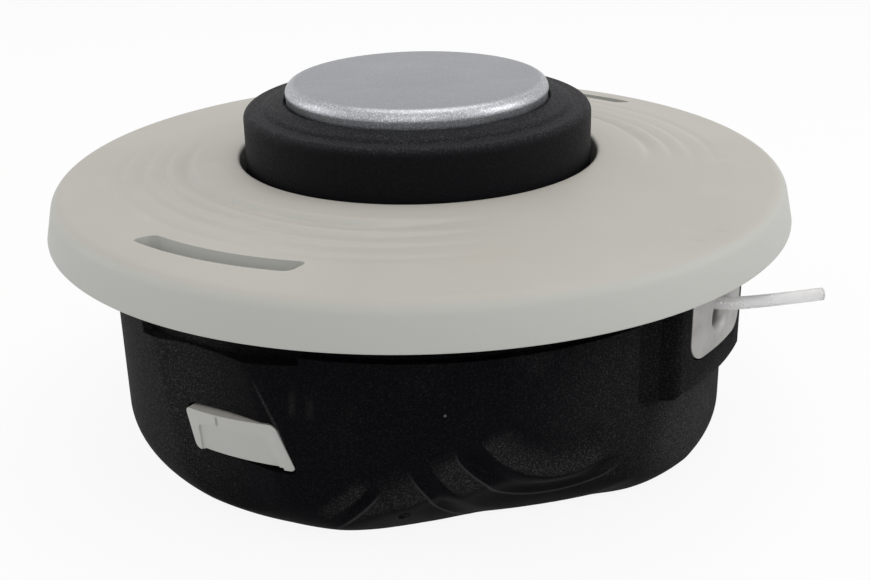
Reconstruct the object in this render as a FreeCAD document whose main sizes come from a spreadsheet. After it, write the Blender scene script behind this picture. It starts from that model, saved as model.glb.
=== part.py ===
import FreeCAD, Part
import math
import os
import re

import Sketcher

Vector = FreeCAD.Vector
Rotation = FreeCAD.Rotation
Placement = FreeCAD.Placement

X_AXIS = Vector(1, 0, 0)
Y_AXIS = Vector(0, 1, 0)
Z_AXIS = Vector(0, 0, 1)

# A bump feed trimmer head standing on its gearbox side, knob upwards.
# Origin on the spin axis at the seat face, eyelets on the X axis, release latches near the Y axis.
# Lengths are in millimetres and angles in degrees.
SIZES = {
    # Cover disc
    "disc_radius": 75.0,
    "brim_z": 45.0,
    "band_height": 8.1,
    "band_inset": 1.8,
    "hole_play": 1.3,
    "disc_rise": 3.7,
    "cover_wall": 2.6,
    "collar_depth": 6.0,
    "crease_round": 2.2,
    "lip_round": 0.8,
    "skirt_wall": 2.0,
    "skirt_depth": 5.5,
    # Arc slots through the disc, sheared like the latches
    "slot_radius": 61.45,
    "slot_width": 3.85,
    "slot_azimuth": -85.3,
    "slot_span": 30.4,
    "slot_shear": 1.8,
    "slot_skew": -4.0,
    "slot_corner": 1.3,
    # Shallow ripples pressed into the disc's top
    "ripple_set": 8.3,
    "ripple_pitch": 4.2,
    "ripple_tube": 4.0,
    "ripple_bite": 0.5,
    "ripple_tilt": 2.0,
    "ripple_azimuth": -93.0,
    # Housing shell
    "wall_radius": 63.0,
    "wall_top_z": 37.3,
    "rim_step": 1.8,
    "rim_wall": 2.0,
    "rim_height": 9.2,
    "cavity_radius": 55.0,
    "cavity_step_z": 29.0,
    "floor_z": 8.0,
    "corner_round": 8.5,
    "tower_radius": 15.0,
    "tower_z": 34.0,
    "recess_inner": 17.0,
    "recess_outer": 46.0,
    "recess_depth": 5.0,
    "recess_rib": 2.2,
    # Steel drive insert with the shaft thread
    "insert_across": 19.0,
    "insert_length": 16.0,
    "thread_radius": 5.2,
    "thread_lead_in": 1.0,
    "shaft_room_radius": 7.0,
    "shaft_room_depth": 8.0,
    # Eyelet bosses and the flutes beside them
    "boss_reach": 66.6,
    "boss_half": 14.3,
    "boss_top_z": 44.0,
    "boss_base_z": 19.5,
    "boss_slope": 3.0,
    "flute_radius": 4.2,
    "flute_reach": 64.2,
    "flute_offset": 18.4,
    "flute_base_z": 21.5,
    # Metal eyelets
    "eyelet_width": 22.0,
    "eyelet_plate": 1.5,
    "eyelet_base_z": 28.4,
    "eyelet_corner": 4.0,
    "eyelet_z": 35.0,
    "eyelet_bore": 2.7,
    "eyelet_sleeve": 4.2,
    "eyelet_flare": 2.2,
    # Release latches, the snap tongues of the cover
    "latch_azimuth": -88.0,
    "latch_length": 20.4,
    "latch_height": 7.9,
    "latch_shear": 3.2,
    "latch_flare": 0.8,
    "latch_rise": 2.0,
    "latch_low_rise": 1.1,
    "latch_z": 18.7,
    "latch_corner": 1.2,
    "latch_border": 1.9,
    "latch_top_border": 2.7,
    "latch_panel_depth": 0.5,
    "latch_foot": 0.35,
    "latch_face_inset": 0.3,
    "nose_sector": 90.0,
    "tongue_wall": 2.0,
    "tongue_span": 18.0,
    "tongue_play": 2.0,
    "pocket_play": 3.0,
    "tongue_gap": 0.3,
    "window_gap": 0.5,
    "latch_notch_left": 23.0,
    "latch_notch_span": 36.0,
    "latch_notch_depth": 1.8,
    "latch_notch_set": 1.0,
    # Thumb scoop that runs slantwise across each latch
    "scoop_radius": 40.0,
    "scoop_bite": 1.9,
    "scoop_tilt": 35.0,
    "scoop_azimuth": -94.0,
    "scoop_z": 23.0,
    # Undercut and wave grooves on the housing's lower wall
    "undercut_azimuth": -47.0,
    "undercut_edge": 51.2,
    "undercut_lean": 44.0,
    "wave_azimuth": -40.0,
    "wave_offset": 9.9,
    "wave_z": 27.0,
    "inner_wave_ring": 13.6,
    "inner_wave_tube": 4.6,
    "inner_wave_bite": 1.5,
    "inner_wave_lean": 9.0,
    "middle_wave_ring": 19.2,
    "middle_wave_tube": 4.2,
    "middle_wave_bite": 4.8,
    "middle_wave_lean": 17.0,
    "outer_wave_ring": 25.2,
    "outer_wave_tube": 5.2,
    "outer_wave_bite": 7.6,
    "outer_wave_lean": 25.0,
    # Small blind hole in the undercut
    "pin_hole_radius": 1.2,
    "pin_hole_reach": 59.8,
    "pin_hole_azimuth": -59.0,
    "pin_hole_depth": 11.0,
    # Spool
    "spool_radius": 52.0,
    "spool_base_z": 18.6,
    "spool_top_z": 44.5,
    "flange": 2.0,
    "mid_flange": 1.6,
    "drum_radius": 24.0,
    "drum_wall": 2.5,
    "hub_wall": 3.0,
    "running_gap": 0.06,
    "spring_room_z": 55.5,
    "hub_roof": 2.5,
    "spigot_wall": 2.2,
    "spigot_height": 7.5,
    # Feed dogs
    "dog_set": 0.4,
    "dog_length": 4.0,
    "dog_width": 3.0,
    "dog_ramp": 3.0,
    "dog_height": 4.1,
    "dog_play": 0.5,
    "dog_bite": 2.4,
    "low_dog_inner": 41.0,
    "low_dog_height": 3.0,
    "floor_dog_height": 3.3,
    # Nylon line
    "line_diameter": 2.4,
    "wound_radius_upper": 42.0,
    "wound_radius_lower": 45.0,
    # Tap knob and its metal cap
    "knob_radius": 35.0,
    "knob_wall": 3.3,
    "knob_shoulder_z": 64.9,
    "knob_round": 1.8,
    "knob_ring_rise": 1.3,
    "knob_ring_radius": 30.6,
    "knob_ridge": 0.5,
    "knob_seat_rise": 1.5,
    "knob_roof": 4.0,
    "cap_radius": 25.4,
    "cap_wall": 1.5,
    "cap_draft": 0.5,
    "cap_height": 3.4,
    "cap_dome": 0.5,
    "cap_round": 1.2,
    "cap_sink": 1.0,
    "fit_gap": 0.1,
    # Feed spring and its washer
    "spring_radius": 10.6,
    "spring_wire": 1.6,
    "washer_wall": 1.2,
    "washer_inner": 8.0,
    "washer_gap": 0.3,
}

DOG_COUNT = 12
RECESS_RIB_COUNT = 10
RIPPLE_COUNT = 4
TURN_COUNT = 4
SPRING_HALF_TURNS = 11
SIDES = {"front": 0.0, "back": 180.0}
EYELET_SIDES = {"right": 0.0, "left": 180.0}
WAVES = ("inner_wave", "middle_wave", "outer_wave")

# Share of the shorter run beside a bend of the line that the bend's arc takes up
ARC_SHARE = 0.45

# Route of the right-hand line end, from inside the housing out through its eyelet
LINE_ROUTE = [
    (55.2, -1.2, 35.0),
    (65.6, -0.6, 35.0),
    (74.2, 5.9, 36.0),
    (81.5, 12.9, 37.0),
]

doc = FreeCAD.newDocument("trimmer_head")
sheet = doc.addObject("Spreadsheet::Sheet", "Sizes")
for row, (alias, value) in enumerate(SIZES.items(), start=1):
    sheet.set("A%d" % row, alias.replace("_", " "))
    sheet.set("B%d" % row, str(value))
    sheet.setAlias("B%d" % row, alias)
doc.recompute()


def bound(text):
    """Point every size named in an expression at its cell."""
    def cell(word):
        name = word.group(0)
        return "Sizes." + name if name in SIZES else name
    return re.sub(r"[a-z][a-z_0-9]*", cell, text)


def num(text):
    """The present value of an expression of sizes."""
    return float(sheet.evalExpression(bound(text)))


def bind(item, **expressions):
    """Tie an object's properties to expressions of sizes."""
    for name, text in expressions.items():
        item.setExpression(name, bound(text))
    return item


def place(item, x="0", y="0", z="0", axis=Z_AXIS, angle="0"):
    """Put an object at a bound point, turned by a bound angle about a fixed axis."""
    item.Placement = Placement(Vector(), Rotation(axis, max(num(angle) % 360, 1e-6)))
    for name, text in (("x", x), ("y", y), ("z", z)):
        item.setExpression("Placement.Base." + name, bound(text))
    item.setExpression("Placement.Rotation.Angle", bound(angle))
    return item


def cylinder(name, radius, height, **where):
    return place(bind(doc.addObject("Part::Cylinder", name), Radius=radius, Height=height), **where)


def box(name, length, width, height, **where):
    item = bind(doc.addObject("Part::Box", name), Length=length, Width=width, Height=height)
    return place(item, **where)


def torus(name, ring, tube, **where):
    return place(bind(doc.addObject("Part::Torus", name), Radius1=ring, Radius2=tube), **where)


def fuse(name, shapes):
    item = doc.addObject("Part::MultiFuse", name)
    item.Shapes = shapes
    return item


def cut(name, base, tool):
    item = doc.addObject("Part::Cut", name)
    item.Base = base
    item.Tool = tool
    return item


def cut_each(name, base, tools):
    """Take tools off a shape one after another, for tools that cross each other."""
    for index, tool in enumerate(tools):
        base = cut("%s_%d" % (name, index), base, tool)
    return base


def common(name, shapes):
    item = doc.addObject("Part::MultiCommon", name)
    item.Shapes = shapes
    return item


def group(name, shapes, angle="0"):
    """Several shapes moved as one, turned about the spin axis."""
    item = doc.addObject("Part::Compound", name)
    item.Links = shapes
    return place(item, angle=angle)


def tube(name, outer, inner, low, high, span="360", start="0"):
    """A ring, or a sector of one, between two radii and two heights."""
    height = "(%s) - (%s)" % (high, low)
    body = bind(cylinder(name + "_outer", outer, height, z=low, angle=start), Angle=span)
    bore = cylinder(name + "_inner", inner, height, z=low)
    return cut(name, body, bore)


def new_body(name):
    return doc.addObject("PartDesign::Body", name)


def outline(body, name, plane, points):
    """A closed sketch of straight sides, each corner held by two bound distances."""
    sketch = body.newObject("Sketcher::SketchObject", name)
    support = [item for item in body.Origin.OriginFeatures if item.Role == plane][0]
    sketch.AttachmentSupport = [(support, "")]
    sketch.MapMode = "FlatFace"
    corners = [Vector(num(across), num(up), 0) for across, up in points]
    count = len(corners)
    for index in range(count):
        sketch.addGeometry(Part.LineSegment(corners[index], corners[(index + 1) % count]))
    for index in range(count):
        sketch.addConstraint(Sketcher.Constraint("Coincident", index, 2, (index + 1) % count, 1))
    for index, (across, up) in enumerate(points):
        hold(sketch, index, "DistanceX", across, -2)
        hold(sketch, index, "DistanceY", up, -1)
    return sketch


def hold(sketch, index, kind, text, axis):
    """Hold the start of one side at a bound distance, or on the axis where that is zero."""
    if text == "0":
        sketch.addConstraint(Sketcher.Constraint("PointOnObject", index, 1, axis))
        return
    number = sketch.addConstraint(Sketcher.Constraint(kind, -1, 1, index, 1, num(text)))
    sketch.setExpression("Constraints[%d]" % number, bound(text))


def revolve(name, points):
    """A turned body from an outline of radius and height."""
    body = new_body(name)
    sketch = outline(body, name + "_outline", "XZ_Plane", points)
    feature = body.newObject("PartDesign::Revolution", name + "_turned")
    feature.Profile = sketch
    feature.ReferenceAxis = (sketch, ["V_Axis"])
    feature.Angle = 360
    doc.recompute()
    return body


def prism(name, plane, points, depth):
    """A straight body from an outline, pushed out equally both ways."""
    body = new_body(name)
    sketch = outline(body, name + "_outline", plane, points)
    feature = body.newObject("PartDesign::Pad", name + "_pad")
    feature.Profile = sketch
    feature.setExpression("Length", bound(depth))
    feature.Midplane = True
    doc.recompute()
    return body


def round_off(body, radius, test):
    """Round those edges of a body that pass a test."""
    base = body.Tip
    names = ["Edge%d" % (n + 1) for n, edge in enumerate(base.Shape.Edges) if test(edge)]
    feature = body.newObject("PartDesign::Fillet", body.Name + "_round_" + radius)
    feature.Base = (base, names)
    feature.setExpression("Radius", bound(radius))
    doc.recompute()
    return body


def is_ring(radius, height):
    """A test for the circular edge at one radius and height."""
    wanted_radius = num(radius)
    wanted_height = num(height)

    def test(edge):
        if not isinstance(edge.Curve, Part.Circle):
            return False
        same_radius = abs(edge.Curve.Radius - wanted_radius) < 1e-4
        return same_radius and abs(edge.Curve.Center.z - wanted_height) < 1e-4
    return test


def runs_along(axis):
    """A test for straight edges along one axis."""
    def test(edge):
        straight = isinstance(edge.Curve, Part.Line)
        return straight and abs(abs(edge.tangentAt(edge.FirstParameter).dot(axis)) - 1) < 1e-6
    return test


def dogs(name, inner, length, low, height, start, points_up):
    """A ring of feed dogs, each with one square driving flank and one ramp."""
    wide = "dog_width + dog_ramp"
    narrow = "dog_width"
    blocks = []
    for index in range(DOG_COUNT):
        dog = bind(doc.addObject("Part::Wedge", "%s_%d" % (name, index)), Xmin=inner, X2min=inner,
                   Xmax="%s + %s" % (inner, length), X2max="%s + %s" % (inner, length), Ymin="0", Ymax=height)
        if points_up:
            bind(dog, Zmin="0", Z2min="0", Zmax=wide, Z2max=narrow)
        else:
            bind(dog, Zmax="0", Z2max="0", Zmin="-(%s)" % narrow, Z2min="-(%s)" % wide)
        place(dog, z=low, axis=X_AXIS, angle="90")
        blocks.append(group("%s_at_%d" % (name, index), [dog], "%s + %s" % (start, index * 360.0 / DOG_COUNT)))
    return blocks


# Heights and radii that several pieces share
CREASE_RADIUS = "(disc_radius - band_inset)"
CREASE_Z = "(brim_z + band_height)"
HOLE_Z = "(brim_z + band_height + disc_rise)"
HOLE_RADIUS = "(knob_radius + hole_play)"
COLLAR_RADIUS = "(knob_radius + hole_play + cover_wall)"
DOG_INNER = "(knob_radius + hole_play + cover_wall + dog_set)"
KNOB_RING_Z = "(knob_shoulder_z + knob_ring_rise)"
KNOB_SEAT_Z = "(knob_shoulder_z + knob_ring_rise + knob_seat_rise)"
CAP_TOP_Z = "(knob_shoulder_z + knob_ring_rise + knob_seat_rise + cap_height)"
RIM_RADIUS = "(wall_radius - rim_step)"
RIM_INNER = "(wall_radius - rim_step - rim_wall)"
RIM_Z = "(wall_top_z + rim_height)"
SKIRT_OUTER = "(wall_radius - rim_step - rim_wall - 2 * fit_gap)"
SKIRT_INNER = "(wall_radius - rim_step - rim_wall - 2 * fit_gap - skirt_wall)"
TONGUE_OUTER = SKIRT_OUTER
TONGUE_INNER = "(wall_radius - rim_step - rim_wall - 2 * fit_gap - tongue_wall)"
TONGUE_TOP = "(wall_top_z + rim_height - tongue_gap - tongue_wall / 2)"
TONGUE_BASE = "(latch_z - latch_height / 2 - latch_low_rise / 2)"
NOSE_RADIUS = "(wall_radius - latch_face_inset)"
SPOOL_BORE = "(tower_radius + running_gap)"
SPIGOT_RADIUS = "(knob_radius - knob_wall - fit_gap)"
MID_FLANGE_Z = "((spool_base_z + spool_top_z - mid_flange) / 2)"
WASHER_TOP = "(spring_room_z - washer_gap)"
SPRING_TOP = "(spring_room_z - washer_gap - washer_wall - fit_gap)"


def disc_top(radius):
    """Height of the disc's sloping top at a radius."""
    slope = "disc_rise / (%s - %s)" % (CREASE_RADIUS, HOLE_RADIUS)
    return "(%s - (%s - %s) * %s)" % (HOLE_Z, radius, HOLE_RADIUS, slope)


def disc_under(radius):
    return "(%s - cover_wall)" % disc_top(radius)


def latch_corners(grow):
    """The latch's sheared outline, tangential and up, grown by a gap all round."""
    half = "latch_length / 2"
    shear = "latch_shear / 2"
    high = "latch_z + latch_height / 2 + %s" % grow
    low = "latch_z - latch_height / 2 - %s" % grow
    return [
        ("-%s - %s - %s" % (half, shear, grow), high + " - latch_rise / 2"),
        ("%s - %s + %s" % (half, shear, grow), high + " + latch_rise / 2"),
        ("%s + latch_flare + %s + %s" % (half, shear, grow), low + " + latch_low_rise / 2"),
        ("-%s - latch_flare + %s - %s" % (half, shear, grow), low + " - latch_low_rise / 2"),
    ]


def panel_corners():
    """The latch's sunk panel, framed at the top and ends and open below."""
    half = "(latch_length / 2 - latch_border)"
    shear = "latch_shear / 2"
    high = "latch_z + latch_height / 2 - latch_top_border"
    low = "latch_z - latch_height / 2 - latch_border"
    return [
        ("-%s - %s" % (half, shear), high + " - latch_rise / 2"),
        ("%s - %s" % (half, shear), high + " + latch_rise / 2"),
        ("%s + %s" % (half, shear), low + " + latch_low_rise / 2"),
        ("-%s + %s" % (half, shear), low + " - latch_low_rise / 2"),
    ]


def foot_corners():
    """The strip taken off below the panel, which leaves a foot at each lower corner."""
    half = "(latch_length / 2 - latch_border)"
    shear = "latch_shear / 2"
    high = "latch_z - latch_height / 2 + latch_foot"
    low = "latch_z - latch_height"
    return [
        ("-%s + %s" % (half, shear), high + " - latch_low_rise / 2"),
        ("%s + %s" % (half, shear), high + " + latch_low_rise / 2"),
        ("%s + %s" % (half, shear), low + " + latch_low_rise / 2"),
        ("-%s + %s" % (half, shear), low + " - latch_low_rise / 2"),
    ]


def latch_prism(name, corners):
    """A radial prism with the latch's outline and rounded corners, on the X axis."""
    body = prism(name, "YZ_Plane", corners, "2 * boss_reach")
    return round_off(body, "latch_corner", runs_along(X_AXIS))


def make_housing():
    """The black moulded cup: floor with shaft tower, wall, windows, bosses and moulded waves."""
    shell = revolve("housing_shell", [
        ("0", "0"),
        ("wall_radius", "0"),
        ("wall_radius", "wall_top_z"),
        (RIM_RADIUS, "wall_top_z"),
        (RIM_RADIUS, RIM_Z),
        (RIM_INNER, RIM_Z),
        (RIM_INNER, "cavity_step_z"),
        ("cavity_radius", "cavity_step_z"),
        ("cavity_radius", "floor_z"),
        ("tower_radius", "floor_z"),
        ("tower_radius", "tower_z"),
        ("0", "tower_z"),
    ])
    round_off(shell, "corner_round", is_ring("wall_radius", "0"))
    bosses = [group("boss_at_" + side, [make_boss(side)], str(turn)) for side, turn in EYELET_SIDES.items()]
    removed = []
    for side, turn in SIDES.items():
        removed += make_wave_cuts(side, turn)
        removed += make_latch_cuts(side, turn)
    for side, turn in EYELET_SIDES.items():
        removed.append(group("boss_cuts_" + side, make_boss_cuts(side), str(turn)))
    removed.append(make_insert_seat())
    removed.append(cylinder("shaft_room", "shaft_room_radius", "shaft_room_depth + fit_gap",
                            z="insert_length - fit_gap"))
    removed.append(make_recess())
    carved = cut_each("housing_cut", fuse("housing_solid", [shell] + bosses), removed)
    floor_dogs = dogs("floor_dog", "low_dog_inner", "dog_length", "floor_z - fit_gap",
                      "floor_dog_height + fit_gap", "0", True)
    node = fuse("housing_node", [carved] + floor_dogs)
    node.Label = "housing"
    return node


def make_boss(side):
    """The lobe that carries an eyelet, curved like the wall and sloped in below."""
    wall_inner = "(%s + rim_wall / 4)" % RIM_INNER
    block = prism("boss_block_" + side, "XZ_Plane", [
        (wall_inner, "boss_base_z"),
        ("wall_radius - rim_step", "boss_base_z"),
        ("boss_reach", "boss_base_z + boss_slope"),
        ("boss_reach", "boss_top_z"),
        (wall_inner, "boss_top_z"),
    ], "2 * boss_half")
    return common("boss_" + side, [block, cylinder("boss_round_" + side, "boss_reach", "boss_top_z")])


def make_boss_cuts(side):
    """The plate's seat, the sleeve's hole and the two flutes beside a boss."""
    seat = plate_block("plate_seat_" + side, "boss_reach + boss_slope", "fit_gap / 2")
    hole = cylinder("sleeve_hole_" + side, "eyelet_sleeve + fit_gap / 2", "boss_reach", z="eyelet_z",
                    axis=Y_AXIS, angle="90")
    cuts = [seat, hole]
    for hand in (-1, 1):
        name = "flute_%s_%s" % (side, "low" if hand < 0 else "high")
        cuts.append(cylinder(name, "flute_radius", "boss_top_z", x="flute_reach",
                             y="%d * flute_offset" % hand, z="flute_base_z"))
    return cuts


def plate_block(name, outer, grow):
    """An eyelet plate curved about the spin axis, square above and rounded at its lower corners."""
    wide = "(eyelet_width + 2 * %s)" % grow
    block = box(name + "_block", "2 * boss_reach", wide, "boss_top_z - eyelet_base_z + 2 * %s" % grow,
                y="-%s / 2" % wide, z="eyelet_base_z - %s" % grow)
    doc.recompute()
    corners = doc.addObject("Part::Fillet", name + "_corners")
    corners.Base = block
    radius = num("eyelet_corner")
    low = num("eyelet_base_z")
    along = runs_along(X_AXIS)
    corners.Edges = [(n + 1, radius, radius) for n, edge in enumerate(block.Shape.Edges)
                     if along(edge) and edge.CenterOfMass.z < low + radius]
    shell = tube(name + "_shell", outer, "boss_reach - eyelet_plate - %s" % grow, "0", "brim_z", "90", "-45")
    return common(name, [corners, shell])


def make_recess():
    """The ring-shaped hollow under the floor, crossed by radial ribs."""
    ring = tube("recess_ring", "recess_outer", "recess_inner", "-fit_gap", "recess_depth")
    ribs = []
    for index in range(RECESS_RIB_COUNT):
        rib = box("recess_rib_%d" % index, "recess_outer", "recess_rib", "recess_depth + fit_gap",
                  y="-recess_rib / 2", z="-fit_gap")
        ribs.append(group("recess_rib_at_%d" % index, [rib], str(index * 360.0 / RECESS_RIB_COUNT)))
    return cut("recess", ring, fuse("recess_ribs", ribs))


def hexagon(name, across, length):
    """A six-sided bar standing on the seat face."""
    item = bind(doc.addObject("Part::Prism", name), Circumradius=across + " / sqrt(3)", Height=length)
    item.Polygon = 6
    return item


def make_insert_seat():
    return hexagon("insert_seat", "insert_across", "insert_length")


def make_latch_cuts(side, turn):
    """Window, tongue pocket, rim notch and thumb scoop of one latch."""
    window = latch_prism("window_" + side, latch_corners("window_gap"))
    inner_half = cylinder("window_core_" + side, "cavity_radius - rim_wall", "brim_z")
    opening = cut("window_opening_" + side, window, inner_half)
    far_side = box("window_far_" + side, "2 * boss_reach", "4 * boss_reach", "brim_z",
                   x="-2 * boss_reach", y="-2 * boss_reach")
    opening = cut("window_one_side_" + side, opening, far_side)
    pocket = tube("tongue_pocket_" + side, RIM_INNER, "cavity_radius - rim_wall", TONGUE_BASE + " - 2 * window_gap",
                  "cavity_step_z + fit_gap", "tongue_span + 2 * pocket_play", "-tongue_span / 2 - pocket_play")
    at_latch = "latch_azimuth + %s" % turn
    notch = tube("rim_notch_" + side, "wall_radius + fit_gap", RIM_RADIUS + " - latch_notch_set",
                 "wall_top_z - latch_notch_depth", RIM_Z + " + fit_gap",
                 "latch_notch_span", "latch_azimuth + %s - latch_notch_left" % turn)
    scoop = cylinder("scoop_" + side, "scoop_radius", "4 * brim_z",
                     x="wall_radius + scoop_radius - scoop_bite",
                     y="2 * brim_z * sin(scoop_tilt)", z="scoop_z - 2 * brim_z * cos(scoop_tilt)",
                     axis=X_AXIS, angle="scoop_tilt")
    return [
        group("window_at_" + side, [opening], at_latch),
        group("pocket_at_" + side, [pocket], at_latch),
        notch,
        group("scoop_at_" + side, [scoop], "scoop_azimuth + %s" % turn),
    ]


def make_wave_cuts(side, turn):
    """The slanting undercut with a small hole in it, and the ring-shaped wave grooves above it."""
    drop = "brim_z / 2"
    slab = box("undercut_" + side, "4 * wall_top_z", "4 * wall_radius", "2 * brim_z",
               x="undercut_edge - %s * sin(undercut_lean)" % drop, y="-2 * wall_radius",
               z="-%s * cos(undercut_lean)" % drop, axis=Y_AXIS, angle="undercut_lean")
    cuts = [group("undercut_at_" + side, [slab], "undercut_azimuth + %s" % turn)]
    wall_x = "sqrt(wall_radius^2 - wave_offset^2)"
    for wave in WAVES:
        reach = "{0} + {1}_ring * sin({1}_lean) + {1}_tube - {1}_bite".format(wall_x, wave)
        ring = torus("%s_%s" % (wave, side), wave + "_ring", wave + "_tube", x=reach, y="wave_offset",
                     z="wave_z", axis=Y_AXIS, angle="90 + %s_lean" % wave)
        cuts.append(group("%s_at_%s" % (wave, side), [ring], "wave_azimuth + %s" % turn))
    hole = cylinder("pin_hole_" + side, "pin_hole_radius", "pin_hole_depth + fit_gap", x="pin_hole_reach",
                    z="-fit_gap")
    cuts.append(group("pin_hole_at_" + side, [hole], "pin_hole_azimuth + %s" % turn))
    return cuts


def make_drive_insert():
    """The steel bush that screws onto the gearbox shaft."""
    bar = hexagon("insert_bar", "insert_across", "insert_length")
    bore = cylinder("insert_bore", "thread_radius", "insert_length + 2 * thread_lead_in", z="-thread_lead_in")
    mouth = bind(doc.addObject("Part::Cone", "insert_mouth"), Radius1="thread_radius + thread_lead_in",
                 Radius2="thread_radius", Height="thread_lead_in")
    node = cut("drive_insert_node", bar, fuse("insert_cuts", [bore, mouth]))
    node.Label = "drive_insert"
    return node


def make_eyelet(side, turn):
    """A metal eyelet: curved face plate, sleeve and a rounded mouth."""
    plate = plate_block("eyelet_plate_" + side, "boss_reach + fit_gap", "0")
    sleeve = cylinder("eyelet_sleeve_" + side, "eyelet_sleeve", "boss_reach - eyelet_plate / 2 - %s" % RIM_INNER,
                      x=RIM_INNER, z="eyelet_z", axis=Y_AXIS, angle="90")
    bore = cylinder("eyelet_bore_" + side, "eyelet_bore", "2 * boss_reach", z="eyelet_z", axis=Y_AXIS, angle="90")
    throat_x = "boss_reach + fit_gap - eyelet_flare"
    room = cylinder("mouth_room_" + side, "eyelet_bore + eyelet_flare", "2 * eyelet_flare", x=throat_x, z="eyelet_z",
                    axis=Y_AXIS, angle="90")
    lip = torus("mouth_lip_" + side, "eyelet_bore + eyelet_flare", "eyelet_flare", x=throat_x, z="eyelet_z",
                axis=Y_AXIS, angle="90")
    mouth = cut("mouth_" + side, room, lip)
    drilled = cut("eyelet_drilled_" + side, fuse("eyelet_blank_" + side, [plate, sleeve]), bore)
    node = place(cut("eyelet_node_" + side, drilled, mouth), angle=str(turn))
    node.Label = "eyelet_" + side
    return node


def make_cover():
    """The pale disc that closes the housing, with its hole collar, skirt, slots and ripples."""
    brim_inner = "(disc_radius - cover_wall)"
    crease_inner = "(disc_radius - band_inset - cover_wall)"
    shell = revolve("cover_shell", [
        ("disc_radius", "brim_z"),
        (CREASE_RADIUS, CREASE_Z),
        (HOLE_RADIUS, HOLE_Z),
        (HOLE_RADIUS, HOLE_Z + " - collar_depth"),
        (COLLAR_RADIUS, HOLE_Z + " - collar_depth"),
        (COLLAR_RADIUS, disc_under(COLLAR_RADIUS)),
        (SKIRT_INNER, disc_under(SKIRT_INNER)),
        (SKIRT_INNER, RIM_Z + " - skirt_depth"),
        (SKIRT_OUTER, RIM_Z + " - skirt_depth"),
        (SKIRT_OUTER, RIM_Z),
        (RIM_RADIUS, RIM_Z),
        (RIM_RADIUS, disc_under(RIM_RADIUS)),
        (crease_inner, disc_under(crease_inner)),
        (brim_inner, "brim_z"),
    ])
    round_off(shell, "crease_round", is_ring(CREASE_RADIUS, CREASE_Z))
    round_off(shell, "lip_round", is_ring(HOLE_RADIUS, HOLE_Z))
    dog_z = "(spool_top_z + dog_height - dog_bite)"
    teeth = dogs("cover_dog", DOG_INNER + " - 2 * fit_gap - cover_wall / 2",
                 "dog_length + 4 * fit_gap + cover_wall / 2", dog_z,
                 disc_under(DOG_INNER + " + dog_length") + " - %s + cover_wall / 2" % dog_z, "0", False)
    removed = []
    for side, turn in SIDES.items():
        removed.append(make_slot(side, turn))
        removed += make_ripples(side, turn)
        gap = tube("skirt_gap_" + side, SKIRT_OUTER + " + fit_gap", SKIRT_INNER + " - fit_gap",
                   RIM_Z + " - 2 * skirt_depth", RIM_Z, "tongue_span + 2 * tongue_play",
                   "latch_azimuth + %s - tongue_span / 2 - tongue_play" % turn)
        removed.append(gap)
    node = fuse("cover_node", [cut_each("cover_cut", shell, removed)] + teeth)
    node.Label = "cover"
    return node


def make_slot(side, turn):
    """One arc slot, cut square through the disc with slanted ends."""
    body = new_body("slot_" + side)
    sketch = body.newObject("Sketcher::SketchObject", "slot_outline_" + side)
    support = [item for item in body.Origin.OriginFeatures if item.Role == "XY_Plane"][0]
    sketch.AttachmentSupport = [(support, "")]
    sketch.MapMode = "FlatFace"
    inner = "slot_radius"
    outer = "(slot_radius + slot_width)"
    ends = [
        (inner, "(slot_shear / 2 - slot_span / 2)"),
        (inner, "(slot_shear / 2 + slot_span / 2)"),
        (outer, "(slot_span / 2 - slot_shear / 2)"),
        (outer, "(-slot_span / 2 - slot_shear / 2)"),
    ]
    points = []
    for radius, angle in ends:
        turned = math.radians(num(angle))
        points.append(Vector(num(radius) * math.cos(turned), num(radius) * math.sin(turned), 0))
    inner_middle = Vector(num(inner), 0, 0)
    outer_middle = Vector(num(outer), 0, 0)
    sketch.addGeometry(Part.Arc(points[0], inner_middle, points[1]))
    sketch.addGeometry(Part.LineSegment(points[1], points[2]))
    sketch.addGeometry(Part.Arc(points[3], outer_middle, points[2]))
    sketch.addGeometry(Part.LineSegment(points[3], points[0]))
    for first, end, second, start in ((0, 2, 1, 1), (1, 2, 2, 2), (2, 1, 3, 1), (3, 2, 0, 1)):
        sketch.addConstraint(Sketcher.Constraint("Coincident", first, end, second, start))
    for arc, radius in ((0, inner), (2, outer)):
        sketch.addConstraint(Sketcher.Constraint("Coincident", arc, 3, -1, 1))
        number = sketch.addConstraint(Sketcher.Constraint("Radius", arc, num(radius)))
        sketch.setExpression("Constraints[%d]" % number, bound(radius))
    for arc, end, (radius, angle) in ((0, 1, ends[0]), (0, 2, ends[1]), (2, 2, ends[2]), (2, 1, ends[3])):
        across = "%s * sin(%s)" % (radius, angle)
        number = sketch.addConstraint(Sketcher.Constraint("DistanceY", -1, 1, arc, end, num(across)))
        sketch.setExpression("Constraints[%d]" % number, bound(across))
    feature = body.newObject("PartDesign::Pad", "slot_pad_" + side)
    feature.Profile = sketch
    feature.setExpression("Length", bound("brim_z + 2 * band_height"))
    doc.recompute()
    round_off(body, "slot_corner", runs_along(Z_AXIS))
    lifted = box("slot_below_" + side, "2 * disc_radius", "2 * disc_radius", "brim_z", x="-disc_radius",
                 y="-disc_radius")
    raised = place(cut("slot_raised_" + side, body, lifted), y="slot_skew")
    return group("slot_at_" + side, [raised], "slot_azimuth + %s" % turn)


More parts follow.
